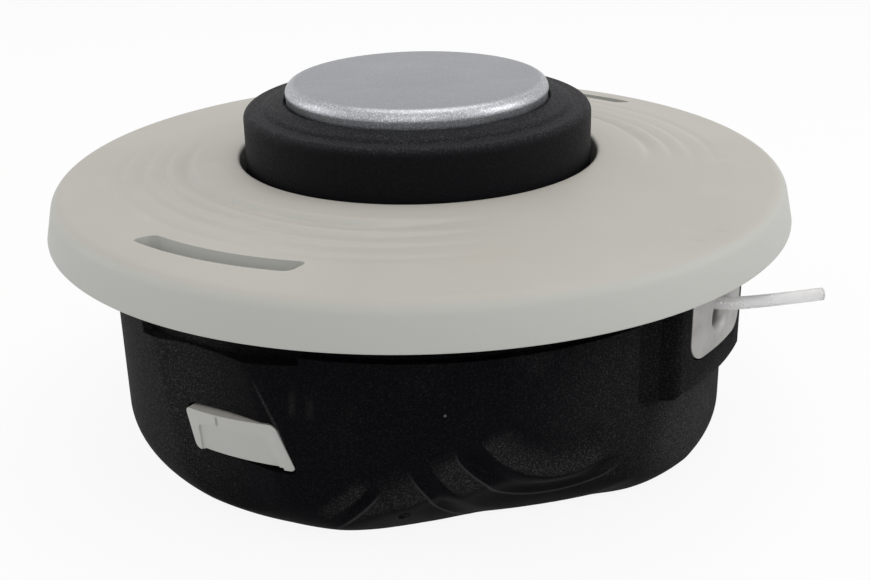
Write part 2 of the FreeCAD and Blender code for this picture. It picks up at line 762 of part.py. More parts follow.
def make_ripples(side, turn):
    """Ring grooves tilted a little, so that each is deepest on one side and fades out on the other."""
    rings = []
    for index in range(RIPPLE_COUNT):
        radius = "(%s + ripple_set + %d * ripple_pitch)" % (HOLE_RADIUS, index)
        depth = "ripple_bite * %s" % (1 - index / (RIPPLE_COUNT + 1))
        lift = disc_top(radius) + " + ripple_tube - %s + %s * sin(ripple_tilt)" % (depth, radius)
        rings.append(torus("ripple_%s_%d" % (side, index), radius, "ripple_tube", z=lift, axis=Y_AXIS,
                           angle="ripple_tilt"))
    return [group("ripple_at_%s_%d" % (side, index), [ring], "ripple_azimuth + %s" % turn)
            for index, ring in enumerate(rings)]


def make_latch(side, turn):
    """One snap tongue of the cover with the nose that shows in the housing's window."""
    tongue = tube("tongue_" + side, TONGUE_OUTER, TONGUE_INNER, TONGUE_BASE, TONGUE_TOP, "tongue_span",
                  "-tongue_span / 2")
    ring = tube("nose_ring_" + side, NOSE_RADIUS, TONGUE_INNER, "0", "brim_z", "nose_sector", "-nose_sector / 2")
    nose = common("nose_" + side, [latch_prism("nose_prism_" + side, latch_corners("0")), ring])
    panel = latch_prism("panel_prism_" + side, panel_corners())
    panel_core = cylinder("panel_core_" + side, NOSE_RADIUS + " - latch_panel_depth", "brim_z")
    bead_length = "(2 * %s * sin(tongue_span / 2))" % TONGUE_INNER
    bead = cylinder("tongue_bead_" + side, "tongue_wall / 2", bead_length, x=TONGUE_INNER,
                    y=bead_length + " / 2", z=TONGUE_TOP, axis=X_AXIS, angle="90")
    feet = prism("feet_prism_" + side, "YZ_Plane", foot_corners(), "2 * boss_reach")
    feet_core = cylinder("feet_core_" + side, TONGUE_OUTER + " + fit_gap", "brim_z")
    solid = fuse("latch_solid_" + side, [tongue, nose, bead])
    framed = cut("latch_framed_" + side, solid, cut("panel_" + side, panel, panel_core))
    node = cut("latch_node_" + side, framed, cut("feet_" + side, feet, feet_core))
    place(node, angle="latch_azimuth + %s" % turn)
    node.Label = "release_latch_" + side
    return node


def make_spool():
    """The two-chamber line spool with its running bore, feed dogs and knob spigot."""
    hub_outer = "(tower_radius + running_gap + hub_wall)"
    drum_inner = "(drum_radius - drum_wall)"
    spigot_inner = "(knob_radius - knob_wall - fit_gap - spigot_wall)"
    web_low = "(%s - flange / 2)" % MID_FLANGE_Z
    shell = revolve("spool_shell", [
        (SPOOL_BORE, "spool_base_z"),
        (hub_outer, "spool_base_z"),
        (hub_outer, web_low),
        (drum_inner, web_low),
        (drum_inner, "spool_base_z"),
        ("spool_radius", "spool_base_z"),
        ("spool_radius", "spool_base_z + flange"),
        ("drum_radius", "spool_base_z + flange"),
        ("drum_radius", MID_FLANGE_Z),
        ("spool_radius", MID_FLANGE_Z),
        ("spool_radius", MID_FLANGE_Z + " + mid_flange"),
        ("drum_radius", MID_FLANGE_Z + " + mid_flange"),
        ("drum_radius", "spool_top_z - flange"),
        ("spool_radius", "spool_top_z - flange"),
        ("spool_radius", "spool_top_z"),
        (SPIGOT_RADIUS, "spool_top_z"),
        (SPIGOT_RADIUS, "spool_top_z + spigot_height"),
        (spigot_inner, "spool_top_z + spigot_height"),
        (spigot_inner, "spool_top_z + flange"),
        (hub_outer, "spool_top_z + flange"),
        (hub_outer, "spring_room_z + hub_roof"),
        ("0", "spring_room_z + hub_roof"),
        ("0", "spring_room_z"),
        (SPOOL_BORE, "spring_room_z"),
    ])
    upper = dogs("spool_dog", DOG_INNER, "dog_length", "spool_top_z - fit_gap", "dog_height + fit_gap",
                 "-dog_play", True)
    lower = dogs("spool_low_dog", "low_dog_inner", "dog_length", "spool_base_z - low_dog_height",
                 "low_dog_height + fit_gap", str(-180.0 / DOG_COUNT), False)
    node = fuse("spool_node", [shell] + upper + lower)
    node.Label = "spool"
    return node


def make_winding(name, low, high, radius):
    """One chamber's wound line: a pack of turns with a rounded outer layer."""
    pack = tube(name + "_pack", radius + " - line_diameter / 3", "drum_radius", low, high)
    height = "((%s) - (%s))" % (high, low)
    turns = []
    for index in range(TURN_COUNT):
        level = "(%s) + %s * %s / %s" % (low, height, index + 0.5, TURN_COUNT)
        turns.append(torus("%s_turn_%d" % (name, index), radius + " - line_diameter / 2", "line_diameter / 2",
                           z=level))
    node = fuse(name + "_node", [pack] + turns)
    node.Label = name
    return node


def make_knob():
    """The tap knob: a thick-walled cup, mouth down, with a raised seat for the metal cap."""
    inner = "(knob_radius - knob_wall)"
    groove_inner = "(cap_radius - cap_wall - fit_gap)"
    groove_outer = "(cap_radius + fit_gap)"
    groove_z = KNOB_SEAT_Z + " - cap_sink"
    roof_z = KNOB_SEAT_Z + " - knob_roof"
    plateau_z = CAP_TOP_Z + " - cap_wall"
    shell = revolve("knob_shell", [
        ("knob_radius", "spool_top_z"),
        ("knob_radius", "knob_shoulder_z"),
        ("knob_ring_radius", KNOB_RING_Z),
        ("knob_ring_radius - knob_ridge", KNOB_RING_Z + " + knob_ridge / 2"),
        (groove_outer, KNOB_SEAT_Z),
        (groove_outer, groove_z),
        (groove_inner, groove_z),
        (groove_inner, plateau_z),
        ("0", plateau_z),
        ("0", roof_z),
        (inner, roof_z),
        (inner, "spool_top_z"),
    ])
    round_off(shell, "knob_round", is_ring("knob_radius", "knob_shoulder_z"))
    shell.Label = "tap_knob"
    return shell


def make_wear_cap():
    """The pressed metal cap with a rolled edge."""
    foot_z = KNOB_SEAT_Z + " - cap_sink + fit_gap"
    shell = revolve("wear_cap_shell", [
        ("cap_radius", foot_z),
        ("cap_radius - cap_draft", CAP_TOP_Z),
        ("0", CAP_TOP_Z + " + cap_dome"),
        ("0", CAP_TOP_Z + " - cap_wall"),
        ("cap_radius - cap_wall", CAP_TOP_Z + " - cap_wall"),
        ("cap_radius - cap_wall", foot_z),
    ])
    round_off(shell, "cap_round", is_ring("cap_radius - cap_draft", CAP_TOP_Z))
    shell.Label = "wear_cap"
    return shell


def make_spring():
    """The compression spring: half rings tilted in turn, which meet level at each half turn."""
    low = "(tower_z + spring_wire / 2 + fit_gap)"
    climb = "((%s - fit_gap - spring_wire / 2 - %s) / %d)" % (SPRING_TOP, low, SPRING_HALF_TURNS)
    halves = []
    for index in range(SPRING_HALF_TURNS):
        half = torus("spring_half_%d" % index, "sqrt(spring_radius^2 + (%s / 2)^2)" % climb, "spring_wire / 2",
                     z="%s + %s * %s" % (low, index + 0.5, climb), axis=Y_AXIS,
                     angle="atan(%s / 2 / spring_radius)" % climb)
        half.Angle3 = 180
        halves.append(group("spring_half_at_%d" % index, [half], str(180.0 * (index % 2))))
    node = fuse("spring_node", halves)
    node.Label = "feed_spring"
    return node


def make_washer():
    """The thrust washer on top of the spring."""
    node = tube("spring_washer_node", SPOOL_BORE + " - washer_gap", "washer_inner",
                WASHER_TOP + " - washer_wall", WASHER_TOP)
    node.Label = "spring_washer"
    return node


def make_line_end(side, turn):
    """A free line end: straight runs joined by tangent arcs, swept with the line's section."""
    route = [Vector(*point) for point in LINE_ROUTE]
    edges = []
    start = route[0]
    for before, corner, after in zip(route, route[1:], route[2:]):
        back = (before - corner).normalize()
        ahead = (after - corner).normalize()
        half_turn = (math.pi - back.getAngle(ahead)) / 2
        reach = ARC_SHARE * min((before - corner).Length, (after - corner).Length)
        bisector = (back + ahead).normalize()
        radius = reach / math.tan(half_turn)
        middle = corner + bisector * (radius / math.cos(half_turn) - radius)
        entry = corner + back * reach
        leave = corner + ahead * reach
        print("line bend radius %.1f" % radius)
        edges.append(Part.LineSegment(start, entry).toShape())
        edges.append(Part.Arc(entry, middle, leave).toShape())
        start = leave
    edges.append(Part.LineSegment(start, route[-1]).toShape())
    path = Part.Wire(edges)
    section = Part.Wire(Part.Circle(route[0], route[1] - route[0], num("line_diameter / 2")).toShape())
    node = doc.addObject("Part::Feature", "line_end_node_" + side)
    node.Shape = path.makePipeShell([section], True, False)
    expected = math.pi * num("line_diameter / 2") ** 2 * path.Length
    print("line end length %.1f, volume ratio %.4f" % (path.Length, node.Shape.Volume / expected))
    node.Placement = Placement(Vector(), Rotation(Z_AXIS, turn))
    node.Label = "line_end_" + side
    return node


nodes = [make_housing(), make_drive_insert(), make_cover(), make_spool(), make_knob(), make_wear_cap()]
nodes += [make_eyelet(side, turn) for side, turn in EYELET_SIDES.items()]
nodes += [make_latch(side, turn) for side, turn in SIDES.items()]
nodes.append(make_winding("line_winding_lower", "spool_base_z + flange", MID_FLANGE_Z, "wound_radius_lower"))
nodes.append(make_winding("line_winding_upper", MID_FLANGE_Z + " + mid_flange", "spool_top_z - flange",
                          "wound_radius_upper"))
nodes += [make_spring(), make_washer()]
nodes += [make_line_end(side, turn) for side, turn in EYELET_SIDES.items()]
doc.recompute()

failed = [item.Name for item in doc.Objects if "Invalid" in item.State or "Error" in item.State]
for node in nodes:
    if node.Shape.isNull() or not node.Shape.isValid() or not node.Shape.Solids:
        failed.append(node.Label)
if failed:
    raise RuntimeError("failed objects: " + ", ".join(failed))

os.makedirs("parts", exist_ok=True)
for node in nodes:
    node.Shape.exportStep("parts/%s.step" % node.Label)
    box_of = node.Shape.BoundBox
    print("%-22s solids %d volume %9.1f  z %.2f to %.2f" % (
        node.Label, len(node.Shape.Solids), node.Shape.Volume, box_of.ZMin, box_of.ZMax))
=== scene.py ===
import math

import bmesh
import bpy
import numpy as np
from mathutils import Matrix, Vector


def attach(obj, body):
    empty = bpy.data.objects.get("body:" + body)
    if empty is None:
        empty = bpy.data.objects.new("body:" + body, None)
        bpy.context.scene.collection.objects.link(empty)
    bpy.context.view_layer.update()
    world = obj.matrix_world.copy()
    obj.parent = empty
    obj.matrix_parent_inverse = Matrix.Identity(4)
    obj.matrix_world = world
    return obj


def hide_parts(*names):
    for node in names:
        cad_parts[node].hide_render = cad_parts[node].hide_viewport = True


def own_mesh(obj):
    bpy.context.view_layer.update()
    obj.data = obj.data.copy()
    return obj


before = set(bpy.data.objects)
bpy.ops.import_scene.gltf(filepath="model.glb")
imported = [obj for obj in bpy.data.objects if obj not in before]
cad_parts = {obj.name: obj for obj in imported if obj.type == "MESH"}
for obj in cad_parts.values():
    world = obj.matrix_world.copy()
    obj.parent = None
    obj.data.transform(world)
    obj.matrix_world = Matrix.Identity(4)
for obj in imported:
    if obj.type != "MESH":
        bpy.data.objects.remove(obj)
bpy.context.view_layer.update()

# Lengths here are millimetres and angles degrees; finished meshes are brought to the frame's metres
MM = 0.001

# Faces that turn by more than this, in radians, meet in a sharp edge
SHARP_EDGE = 0.5

# The two halves of the head are alike, half a turn apart
HALVES = {"front": 0.0, "back": 180.0}
EYELETS = {"right": 0.0, "left": 180.0}

# Cover disc
DISC_RADIUS = 75.0
BRIM_Z = 45.0
CREASE_RADIUS = 73.2
CREASE_Z = 53.1
HOLE_RADIUS = 36.3
HOLE_Z = 56.8
COVER_WALL = 2.6
COLLAR_DEPTH = 6.0
CREASE_SET = 2.6
HOLE_SET = 1.5
CREASE_ROUND = 2.2
HOLE_ROUND = 0.7
BRIM_ROUND = 0.5
TOP_ROWS = 76
DISC_STEPS = 400
SKIRT_INNER = 57.0
SKIRT_OUTER = 59.0
SKIRT_Z = 41.0
RIM_RADIUS = 61.2
RIM_INNER = 59.2
RIM_Z = 46.5

# Housing
WALL_RADIUS = 63.0
WALL_TOP_Z = 37.7
CAVITY_RADIUS = 55.0
CAVITY_STEP_Z = 29.0
FLOOR_Z = 8.0
TOWER_RADIUS = 15.0
TOWER_Z = 34.0

# Free line ends, from inside the housing out through each eyelet
LINE_DIAMETER = 2.4
LINE_ROUTE = [
    (55.2, -1.2, 36.0),
    (65.6, -0.6, 36.2),
    (74.2, 5.9, 36.6),
    (81.5, 12.9, 37.0),
]

# Waves struck from one centre: depth against distance, and the angles from straight down where they fade
WAVE_CENTRE = (43.13, -26.39, 29.29)
WAVE_DISTANCES = (14.0, 16.5, 20.2, 20.8, 22.9, 23.7, 24.2, 27.8, 28.5, 30.4, 31.1, 31.6, 34.5, 38.0)
WAVE_DEPTHS = (0.0, 1.1, 0.0, 0.1, 1.7, 1.8, 1.6, 0.1, 0.2, 1.2, 1.2, 1.0, 0.2, 0.0)
WAVE_FADES = (-70.0, -58.0, 20.0, 42.0)
FAR_WAVE_CENTRE = (1.32, -50.58, 29.29)
FAR_WAVE_DISTANCES = (29.5, 30.6, 31.0, 32.1, 32.7, 34.5, 36.5)
FAR_WAVE_DEPTHS = (0.0, 0.5, 0.2, 1.3, 0.8, 0.4, 0.0)
FAR_WAVE_FADES = (34.0, 44.0, 54.0, 63.0)

# Both sets of waves fade towards the floor between two heights, to a share
WAVE_FOOT = (3.0, 9.0, 0.3)

# Where dust and painted light lie on the waves: slopes that face up, lightened as dust with painted light,
# from and to a distance, and fine painted highlight lines at their feet
WAVE_SLOPES = ((14.5, 19.5, 20.6), (23.9, 24.3, 28.2), (31.2, 31.6, 36.5))
WAVE_HIGHLIGHT_LINES = (23.95, 31.2)
FAR_WAVE_SLOPES = ((28.0, 30.0, 30.9), (32.7, 33.0, 36.0))
FAR_WAVE_HIGHLIGHT_LINES = (32.7,)
SLOPE_EDGE = 0.3

# Marks of use: on the disc by angle and radius, on the wall by angle and height
STAIN_AZIMUTHS = (-46.3, -43.6, -41.0)
STAIN_RADIUS = 58.4
STAIN_Z = 54.6
SCUFFS = ((-6.0, 69.3), (-11.6, 69.0))
SCUFF_Z = 53.6
LATCH_TICK = ((-91.9, 22.6), (-91.7, 20.0))
LATCH_TICK_WIDTH = 0.55
STREAK_FADE = 0.35
BLACK_SPECK = (-52.0, 27.9)

# Haze of dust with painted sheen on the wall, lighter towards the lit right side and at the grazing left:
# angle, height, inner and outer reach, and share
BLACK_DUST_AND_SHEEN = ((-2.0, 12.0, 4.0, 22.0, 2.4), (-116.0, 24.0, 14.0, 40.0, 1.7), (-16.0, 24.0, 8.0, 30.0, 0.8))

# Where the cap's painted highlight on its rolled edge begins and is full, and the scale of the broad grain
CAP_HIGHLIGHT_EDGE = (24.2, 25.6)
BROAD_GRAIN = 0.37

# Camera: where it stands round the spin axis, how far from the brim's centre, and how it is turned
CAMERA_AZIMUTH = 35.0
CAMERA_ELEVATION = 18.60
CAMERA_DISTANCE = 271.4
CAMERA_PITCH = 22.53
CAMERA_YAW = 0.61
CAMERA_ROLL = -1.31
CAMERA_LENS = 53.79
SENSOR_WIDTH = 36.0

# Stage: floor, light from all round, and lamps by place, size, power and tint
FLOOR_HALF = 3000.0
FLOOR_WHITE_SHARE = 0.9
AMBIENT = 0.55
LAMPS = (
    ("key", (0.0, 120.0, 720.0), 500.0, 1.7, (1.0, 0.985, 0.96)),
    ("right_side", (560.0, 220.0, 320.0), 400.0, 1.4, (0.98, 0.99, 1.0)),
    ("left_side", (-520.0, -320.0, 260.0), 400.0, 0.7, (0.98, 0.99, 1.0)),
    ("front", (330.0, -560.0, 330.0), 400.0, 0.7, (0.97, 0.99, 1.0)),
)


def polar(radius, azimuth, z=0.0):
    """A point from its radius, its angle about the spin axis and its height."""
    turn = math.radians(azimuth)
    return Vector((radius * math.cos(turn), radius * math.sin(turn), z))


# Mesh helpers

def span(first, last, count):
    """Evenly spaced points from one profile corner up to the next, which is left out."""
    return [tuple(np.array(first) + (np.array(last) - np.array(first)) * i / count) for i in range(count)]


def arc(centre, radius, start, end, count):
    """Profile points on an arc of radius and height."""
    angles = [math.radians(start + (end - start) * i / count) for i in range(count + 1)]
    return [(centre[0] + radius * math.cos(a), centre[1] + radius * math.sin(a)) for a in angles]


def turned(profile, steps):
    """A mesh turned about the spin axis from a closed profile of radius and height."""
    bm = bmesh.new()
    verts = [bm.verts.new((radius, 0.0, z)) for radius, z in profile]
    edges = [bm.edges.new(pair) for pair in zip(verts, verts[1:] + verts[:1])]
    bmesh.ops.spin(bm, geom=verts + edges, axis=(0, 0, 1), cent=(0, 0, 0), angle=math.tau, steps=steps,
                   use_merge=True)
    bmesh.ops.remove_doubles(bm, verts=bm.verts, dist=1e-4)
    bmesh.ops.recalc_face_normals(bm, faces=bm.faces)
    return bm


def ring_edges(bm, radius, z):
    """The edges of one ring of a turned mesh."""
    def on_ring(vert):
        return abs(math.hypot(vert.co.x, vert.co.y) - radius) < 1e-3 and abs(vert.co.z - z) < 1e-3
    return [edge for edge in bm.edges if all(on_ring(vert) for vert in edge.verts)]


def soften(bm, edges, width, segments=4):
    """Round edges off."""
    bmesh.ops.bevel(bm, geom=edges, offset=width, offset_type="OFFSET", segments=segments, profile=0.5,
                    affect="EDGES", material=-1, clamp_overlap=True)


def slab(outline, low, high, corner=0.0):
    """A straight block from a flat outline, with its upright edges rounded."""
    bm = bmesh.new()
    face = bm.faces.new([bm.verts.new((x, y, low)) for x, y in outline])
    raised = bmesh.ops.extrude_face_region(bm, geom=[face])
    top = [item for item in raised["geom"] if isinstance(item, bmesh.types.BMVert)]
    bmesh.ops.translate(bm, vec=(0, 0, high - low), verts=top)
    bmesh.ops.recalc_face_normals(bm, faces=bm.faces)
    if corner:
        upright = [edge for edge in bm.edges if abs(edge.verts[0].co.z - edge.verts[1].co.z) > 1e-6]
        soften(bm, upright, corner, 6)
    return bm


def turn_about_axis(bm, angle, axis="Z"):
    turn = Matrix.Rotation(math.radians(angle), 3, axis)
    bmesh.ops.rotate(bm, cent=(0, 0, 0), matrix=turn, verts=bm.verts)
    return bm


def stand(name, data):
    """A new object of the scene."""
    item = bpy.data.objects.new(name, data)
    bpy.context.scene.collection.objects.link(item)
    return item


def merged(shapes):
    """Several meshes taken together as one."""
    whole = bmesh.new()
    for shape in shapes:
        part = bpy.data.meshes.new("part")
        shape.to_mesh(part)
        whole.from_mesh(part)
        bpy.data.meshes.remove(part)
        shape.free()
    return whole


def combine(bm, tool, operation):
    """One mesh joined with, or cut by, another."""
    objects = []
    for name, shape in (("base", bm), ("tool", tool)):
        mesh = bpy.data.meshes.new(name)
        shape.to_mesh(mesh)
        shape.free()
        objects.append(stand(name, mesh))
    carve = objects[0].modifiers.new("carve", "BOOLEAN")
    carve.operation = operation
    carve.object = objects[1]
    carve.solver = "EXACT"
    graph = bpy.context.evaluated_depsgraph_get()
    result = bmesh.new()
    result.from_mesh(objects[0].evaluated_get(graph).to_mesh())
    for item in objects:
        mesh = item.data
        bpy.data.objects.remove(item)
        bpy.data.meshes.remove(mesh)
    return result


def piece(name, bm, body, material, node, sharp=38.0):
    """A finished piece that stands for a solid and rides on its body."""
    bmesh.ops.scale(bm, vec=(MM, MM, MM), verts=bm.verts)
    mesh = bpy.data.meshes.new(name)
    bm.to_mesh(mesh)
    bm.free()
    mesh.shade_smooth()
    mesh.set_sharp_from_angle(angle=math.radians(sharp))
    mesh.materials.append(material)
    item = stand(name, mesh)
    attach(item, body)
    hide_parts(node)
    return item


# Materials

def add(tree, kind, values=None, **settings):
    """A shader node with its settings, and its inputs given as values or as sockets to link."""
    item = tree.nodes.new(kind)
    for name, value in settings.items():
        setattr(item, name, value)
    for name, value in (values or {}).items():
        if isinstance(value, bpy.types.NodeSocket):
            tree.links.new(value, item.inputs[name])
        else:
            item.inputs[name].default_value = value
    return item


def new_group(name, inputs, outputs):
    """A shader node group with float inputs and outputs, plus a Vector input."""
    tree = bpy.data.node_groups.new(name, "ShaderNodeTree")
    tree.interface.new_socket("Vector", in_out="INPUT", socket_type="NodeSocketVector")
    for label, value in inputs.items():
        socket = tree.interface.new_socket(label, in_out="INPUT", socket_type="NodeSocketFloat")
        socket.default_value = value
    for label in outputs:
        tree.interface.new_socket(label, in_out="OUTPUT", socket_type="NodeSocketFloat")
    return tree, tree.nodes.new("NodeGroupInput"), tree.nodes.new("NodeGroupOutput")


def math_node(tree, operation, *values):
    return add(tree, "ShaderNodeMath", dict(enumerate(values)), operation=operation).outputs[0]


def times(tree, first, second):
    return math_node(tree, "MULTIPLY", first, second)


def most(tree, first, second):
    return math_node(tree, "MAXIMUM", first, second)


def split_xyz(tree, vector):
    return add(tree, "ShaderNodeSeparateXYZ", {"Vector": vector}).outputs


def vector_math(tree, operation, first, second=(0.0, 0.0, 0.0)):
    return add(tree, "ShaderNodeVectorMath", {0: first, 1: second}, operation=operation).outputs


def noise(tree, vector, scale, detail, roughness=0.5):
    values = {"Vector": vector, "Scale": scale, "Detail": detail, "Roughness": roughness}
    return add(tree, "ShaderNodeTexNoise", values).outputs["Fac"]


def ramp(tree, value, low, high, to_low=0.0, to_high=1.0):
    """A value brought smoothly from one range to another."""
    values = {"Value": value, "From Min": low, "From Max": high, "To Min": to_low, "To Max": to_high}
    return add(tree, "ShaderNodeMapRange", values, interpolation_type="SMOOTHSTEP").outputs["Result"]


def make_grain_group():
    """The fine spark-eroded grain of a moulding tool: pits of one size mixed with broader ones."""
    tree, given, result = new_group("moulded_grain", {"Size": 0.45, "Coarse": 0.5}, ["Height", "Fleck"])
    scale = math_node(tree, "DIVIDE", 1.0 / MM, given.outputs["Size"])
    pits = noise(tree, given.outputs["Vector"], scale, 2.0, 0.6)
    broad = noise(tree, given.outputs["Vector"], times(tree, scale, BROAD_GRAIN), 1.0)
    mixed = add(tree, "ShaderNodeMix", {"Factor": given.outputs["Coarse"], "A": pits, "B": broad})
    tree.links.new(mixed.outputs["Result"], result.inputs["Height"])
    tree.links.new(ramp(tree, pits, 0.47, 0.70), result.inputs["Fleck"])
    return tree


def make_cloud_group(name, label, detail, roughness, low, high):
    """Soft patches of a given reach."""
    tree, given, result = new_group(name, {"Reach": 30.0}, [label])
    scale = math_node(tree, "DIVIDE", 1.0 / MM, given.outputs["Reach"])
    clouds = noise(tree, given.outputs["Vector"], scale, detail, roughness)
    tree.links.new(ramp(tree, clouds, low, high), result.inputs[label])
    return tree


GRAIN = make_grain_group()
MARKS = make_cloud_group("handling_marks", "Rub", 6.0, 0.65, 0.52, 0.74)
DRIFT = make_cloud_group("tone_drift", "Factor", 3.0, 0.5, 0.3, 0.7)


def new_material(name, **constants):
    """A material with one shader, whose plain numbers are set on its own sockets."""
    material = bpy.data.materials.new(name)
    material.use_nodes = True
    tree = material.node_tree
    shader = tree.nodes["Principled BSDF"]
    for label, value in constants.items():
        shader.inputs[label.replace("_", " ")].default_value = value
    place = add(tree, "ShaderNodeTexCoord").outputs["Object"]
    return material, tree, shader, place


def use_group(tree, group, place, **values):
    """The outputs of a shader node group at a place."""
    return add(tree, "ShaderNodeGroup", {"Vector": place, **values}, node_tree=group).outputs


def blend_colour(tree, factor, first, second):
    values = {"Factor": factor}
    for index, value in ((6, first), (7, second)):
        values[index] = value if isinstance(value, bpy.types.NodeSocket) else (*value, 1.0)
    return add(tree, "ShaderNodeMix", values, data_type="RGBA").outputs[2]


def spot(tree, place, centre, inner, outer):
    """A soft mask round a point of the head."""
    away = vector_math(tree, "DISTANCE", place, tuple(Vector(centre) * MM))["Value"]
    return ramp(tree, away, inner * MM, outer * MM, 1.0, 0.0)


def facing_up(tree, low, high):
    """A mask of the surfaces that look upwards."""
    normal = add(tree, "ShaderNodeTexCoord").outputs["Normal"]
    return ramp(tree, split_xyz(tree, normal)["Z"], low, high)


def unrolled_wall(tree, place):
    """Where a point lies on the unrolled wall, round it and up."""
    split = split_xyz(tree, place)
    across = times(tree, math_node(tree, "ARCTAN2", split["Y"], split["X"]), WALL_RADIUS * MM)
    return add(tree, "ShaderNodeCombineXYZ", {"X": across, "Y": split["Z"]}).outputs["Vector"]


def streak(tree, unrolled, start, end, width):
    """A mask of a soft streak on the unrolled wall, between two points of angle and height."""
    first, last = [Vector((WALL_RADIUS * math.radians(a), z, 0.0)) * MM for a, z in (start, end)]
    length = (last - first).length
    way = (last - first) / length
    away = vector_math(tree, "SUBTRACT", unrolled, tuple(first))["Vector"]
    along = vector_math(tree, "DOT_PRODUCT", away, tuple(way))["Value"]
    beside = vector_math(tree, "DOT_PRODUCT", away, (-way.y, way.x, 0.0))["Value"]
    near = ramp(tree, math_node(tree, "ABSOLUTE", beside), 0.2 * width * MM, width * MM, 1.0, 0.0)
    begun = ramp(tree, along, 0.0, STREAK_FADE * length)
    ended = ramp(tree, along, (1.0 - STREAK_FADE) * length, length, 1.0, 0.0)
    return times(tree, near, times(tree, begun, ended))


def one_half(tree, place):
    """A place on the back half of the head brought round to the front half."""
    split = split_xyz(tree, place)
    turned_back = times(tree, math_node(tree, "SIGN", split["Y"]), -1.0)
    x = times(tree, split["X"], turned_back)
    y = times(tree, split["Y"], turned_back)
    return add(tree, "ShaderNodeCombineXYZ", {"X": x, "Y": y, "Z": split["Z"]}).outputs["Vector"]


def wave_dust_and_highlights(tree, folded, centre, slopes, lines, fades):
    """Masks on the waves about one centre: the slopes that face up, dust with painted light, and the fine
    lines, painted highlights.
    """
    away = vector_math(tree, "DISTANCE", folded, tuple(Vector(centre) * MM))["Value"]
    split = split_xyz(tree, folded)
    angle = math_node(tree, "ARCTAN2", split["Y"], split["X"])
    way = math_node(tree, "SUBTRACT", angle, math.atan2(centre[1], centre[0]))
    across = times(tree, way, WALL_RADIUS * MM)
    down = math_node(tree, "SUBTRACT", centre[2] * MM, split["Z"])
    from_down = math_node(tree, "ARCTAN2", across, down)
    low, full_low, full_high, high = [math.radians(fade) for fade in fades]
    begun = ramp(tree, from_down, low, full_low)
    shown = times(tree, begun, ramp(tree, from_down, full_high, high, 1.0, 0.0))
    dust_and_painted_light = 0.0
    for begin, full, end in slopes:
        ended = ramp(tree, away, (end - SLOPE_EDGE) * MM, end * MM, 1.0, 0.0)
        band = times(tree, ramp(tree, away, begin * MM, full * MM), ended)
        dust_and_painted_light = math_node(tree, "ADD", band, dust_and_painted_light)
    fine = 0.0
    for distance in lines:
        off = math_node(tree, "ABSOLUTE", math_node(tree, "SUBTRACT", away, distance * MM))
        fine = math_node(tree, "ADD", ramp(tree, off, 0.08 * MM, 0.32 * MM, 1.0, 0.0), fine)
    return times(tree, dust_and_painted_light, shown), times(tree, fine, shown)


def bump(tree, shader, height, strength, depth):
    item = add(tree, "ShaderNodeBump", {"Height": height, "Strength": strength, "Distance": depth * MM})
    tree.links.new(item.outputs["Normal"], shader.inputs["Normal"])


def coat(tree, shader, colour, mask, at_none, at_full):
    """Link a shader's colour, and a roughness that runs between two values over a mask."""
    tree.links.new(colour, shader.inputs["Base Color"])
    tree.links.new(ramp(tree, mask, 0.0, 1.0, at_none, at_full), shader.inputs["Roughness"])


def pale_plastic():
    """Satin off-white plastic, painted warmer on top and cooler on its sides as a reflection tint, with a
    faint stain, two scuffs and a mark on a latch.
    """
    material, tree, shader, place = new_material("pale_plastic", Specular_IOR_Level=0.3)
    drift = use_group(tree, DRIFT, place, Reach=38.0)
    marks = use_group(tree, MARKS, place, Reach=16.0)
    grain = use_group(tree, GRAIN, place, Size=0.5, Coarse=0.4)
    # Painted reflection tint: faces that look up take a warmer tone that drifts at random, the sides a cooler
    # grey
    top = blend_colour(tree, drift["Factor"], (0.428, 0.408, 0.370), (0.450, 0.432, 0.398))
    colour = blend_colour(tree, facing_up(tree, 0.55, 0.95), (0.450, 0.450, 0.422), top)
    for azimuth in STAIN_AZIMUTHS:
        stain = spot(tree, place, polar(STAIN_RADIUS, azimuth, STAIN_Z), 0.4, 2.6)
        colour = blend_colour(tree, times(tree, stain, 0.10), colour, (0.44, 0.33, 0.19))
    for azimuth, radius in SCUFFS:
        scuff = spot(tree, place, polar(radius, azimuth, SCUFF_Z), 0.2, 1.6)
        scuff = times(tree, scuff, ramp(tree, grain["Fleck"], 0.0, 0.4, 0.1, 0.4))
        colour = blend_colour(tree, scuff, colour, (0.34, 0.31, 0.26))
    tick = streak(tree, unrolled_wall(tree, place), *LATCH_TICK, LATCH_TICK_WIDTH)
    colour = blend_colour(tree, times(tree, tick, 0.6), colour, (0.12, 0.12, 0.11))
    coat(tree, shader, colour, marks["Rub"], 0.54, 0.46)
    bump(tree, shader, grain["Height"], 0.22, 0.05)
    return material


# Streaks on the wall: both ends by angle and height, width and share
BLACK_STREAKS = (
    # Painted highlight along the left crease of each thumb scoop
    ((-110.0, 36.0), (-108.4, 22.0), 0.5, 0.24),
    ((-109.6, 28.5), (-104.8, 16.0), 0.5, 0.26),
    ((-107.2, 20.6), (-100.2, 12.6), 0.6, 0.22),
    # Painted highlight along the right crease of each thumb scoop, beside the latch
    ((-84.0, 33.6), (-77.4, 19.4), 0.5, 0.24),
    ((-76.0, 32.5), (-76.5, 25.0), 1.1, 0.10),
    ((-73.0, 31.0), (-73.5, 25.4), 1.2, 0.09),
    ((5.7, 17.0), (9.2, 6.5), 0.6, 0.42),
    ((3.6, 18.4), (6.4, 7.5), 0.5, 0.36),
    ((-0.5, 16.0), (2.4, 5.6), 0.5, 0.34),
    ((-8.9, 19.6), (-10.8, 6.5), 0.6, 0.26),
    ((-14.0, 20.8), (3.4, 20.2), 0.4, 0.34),
)


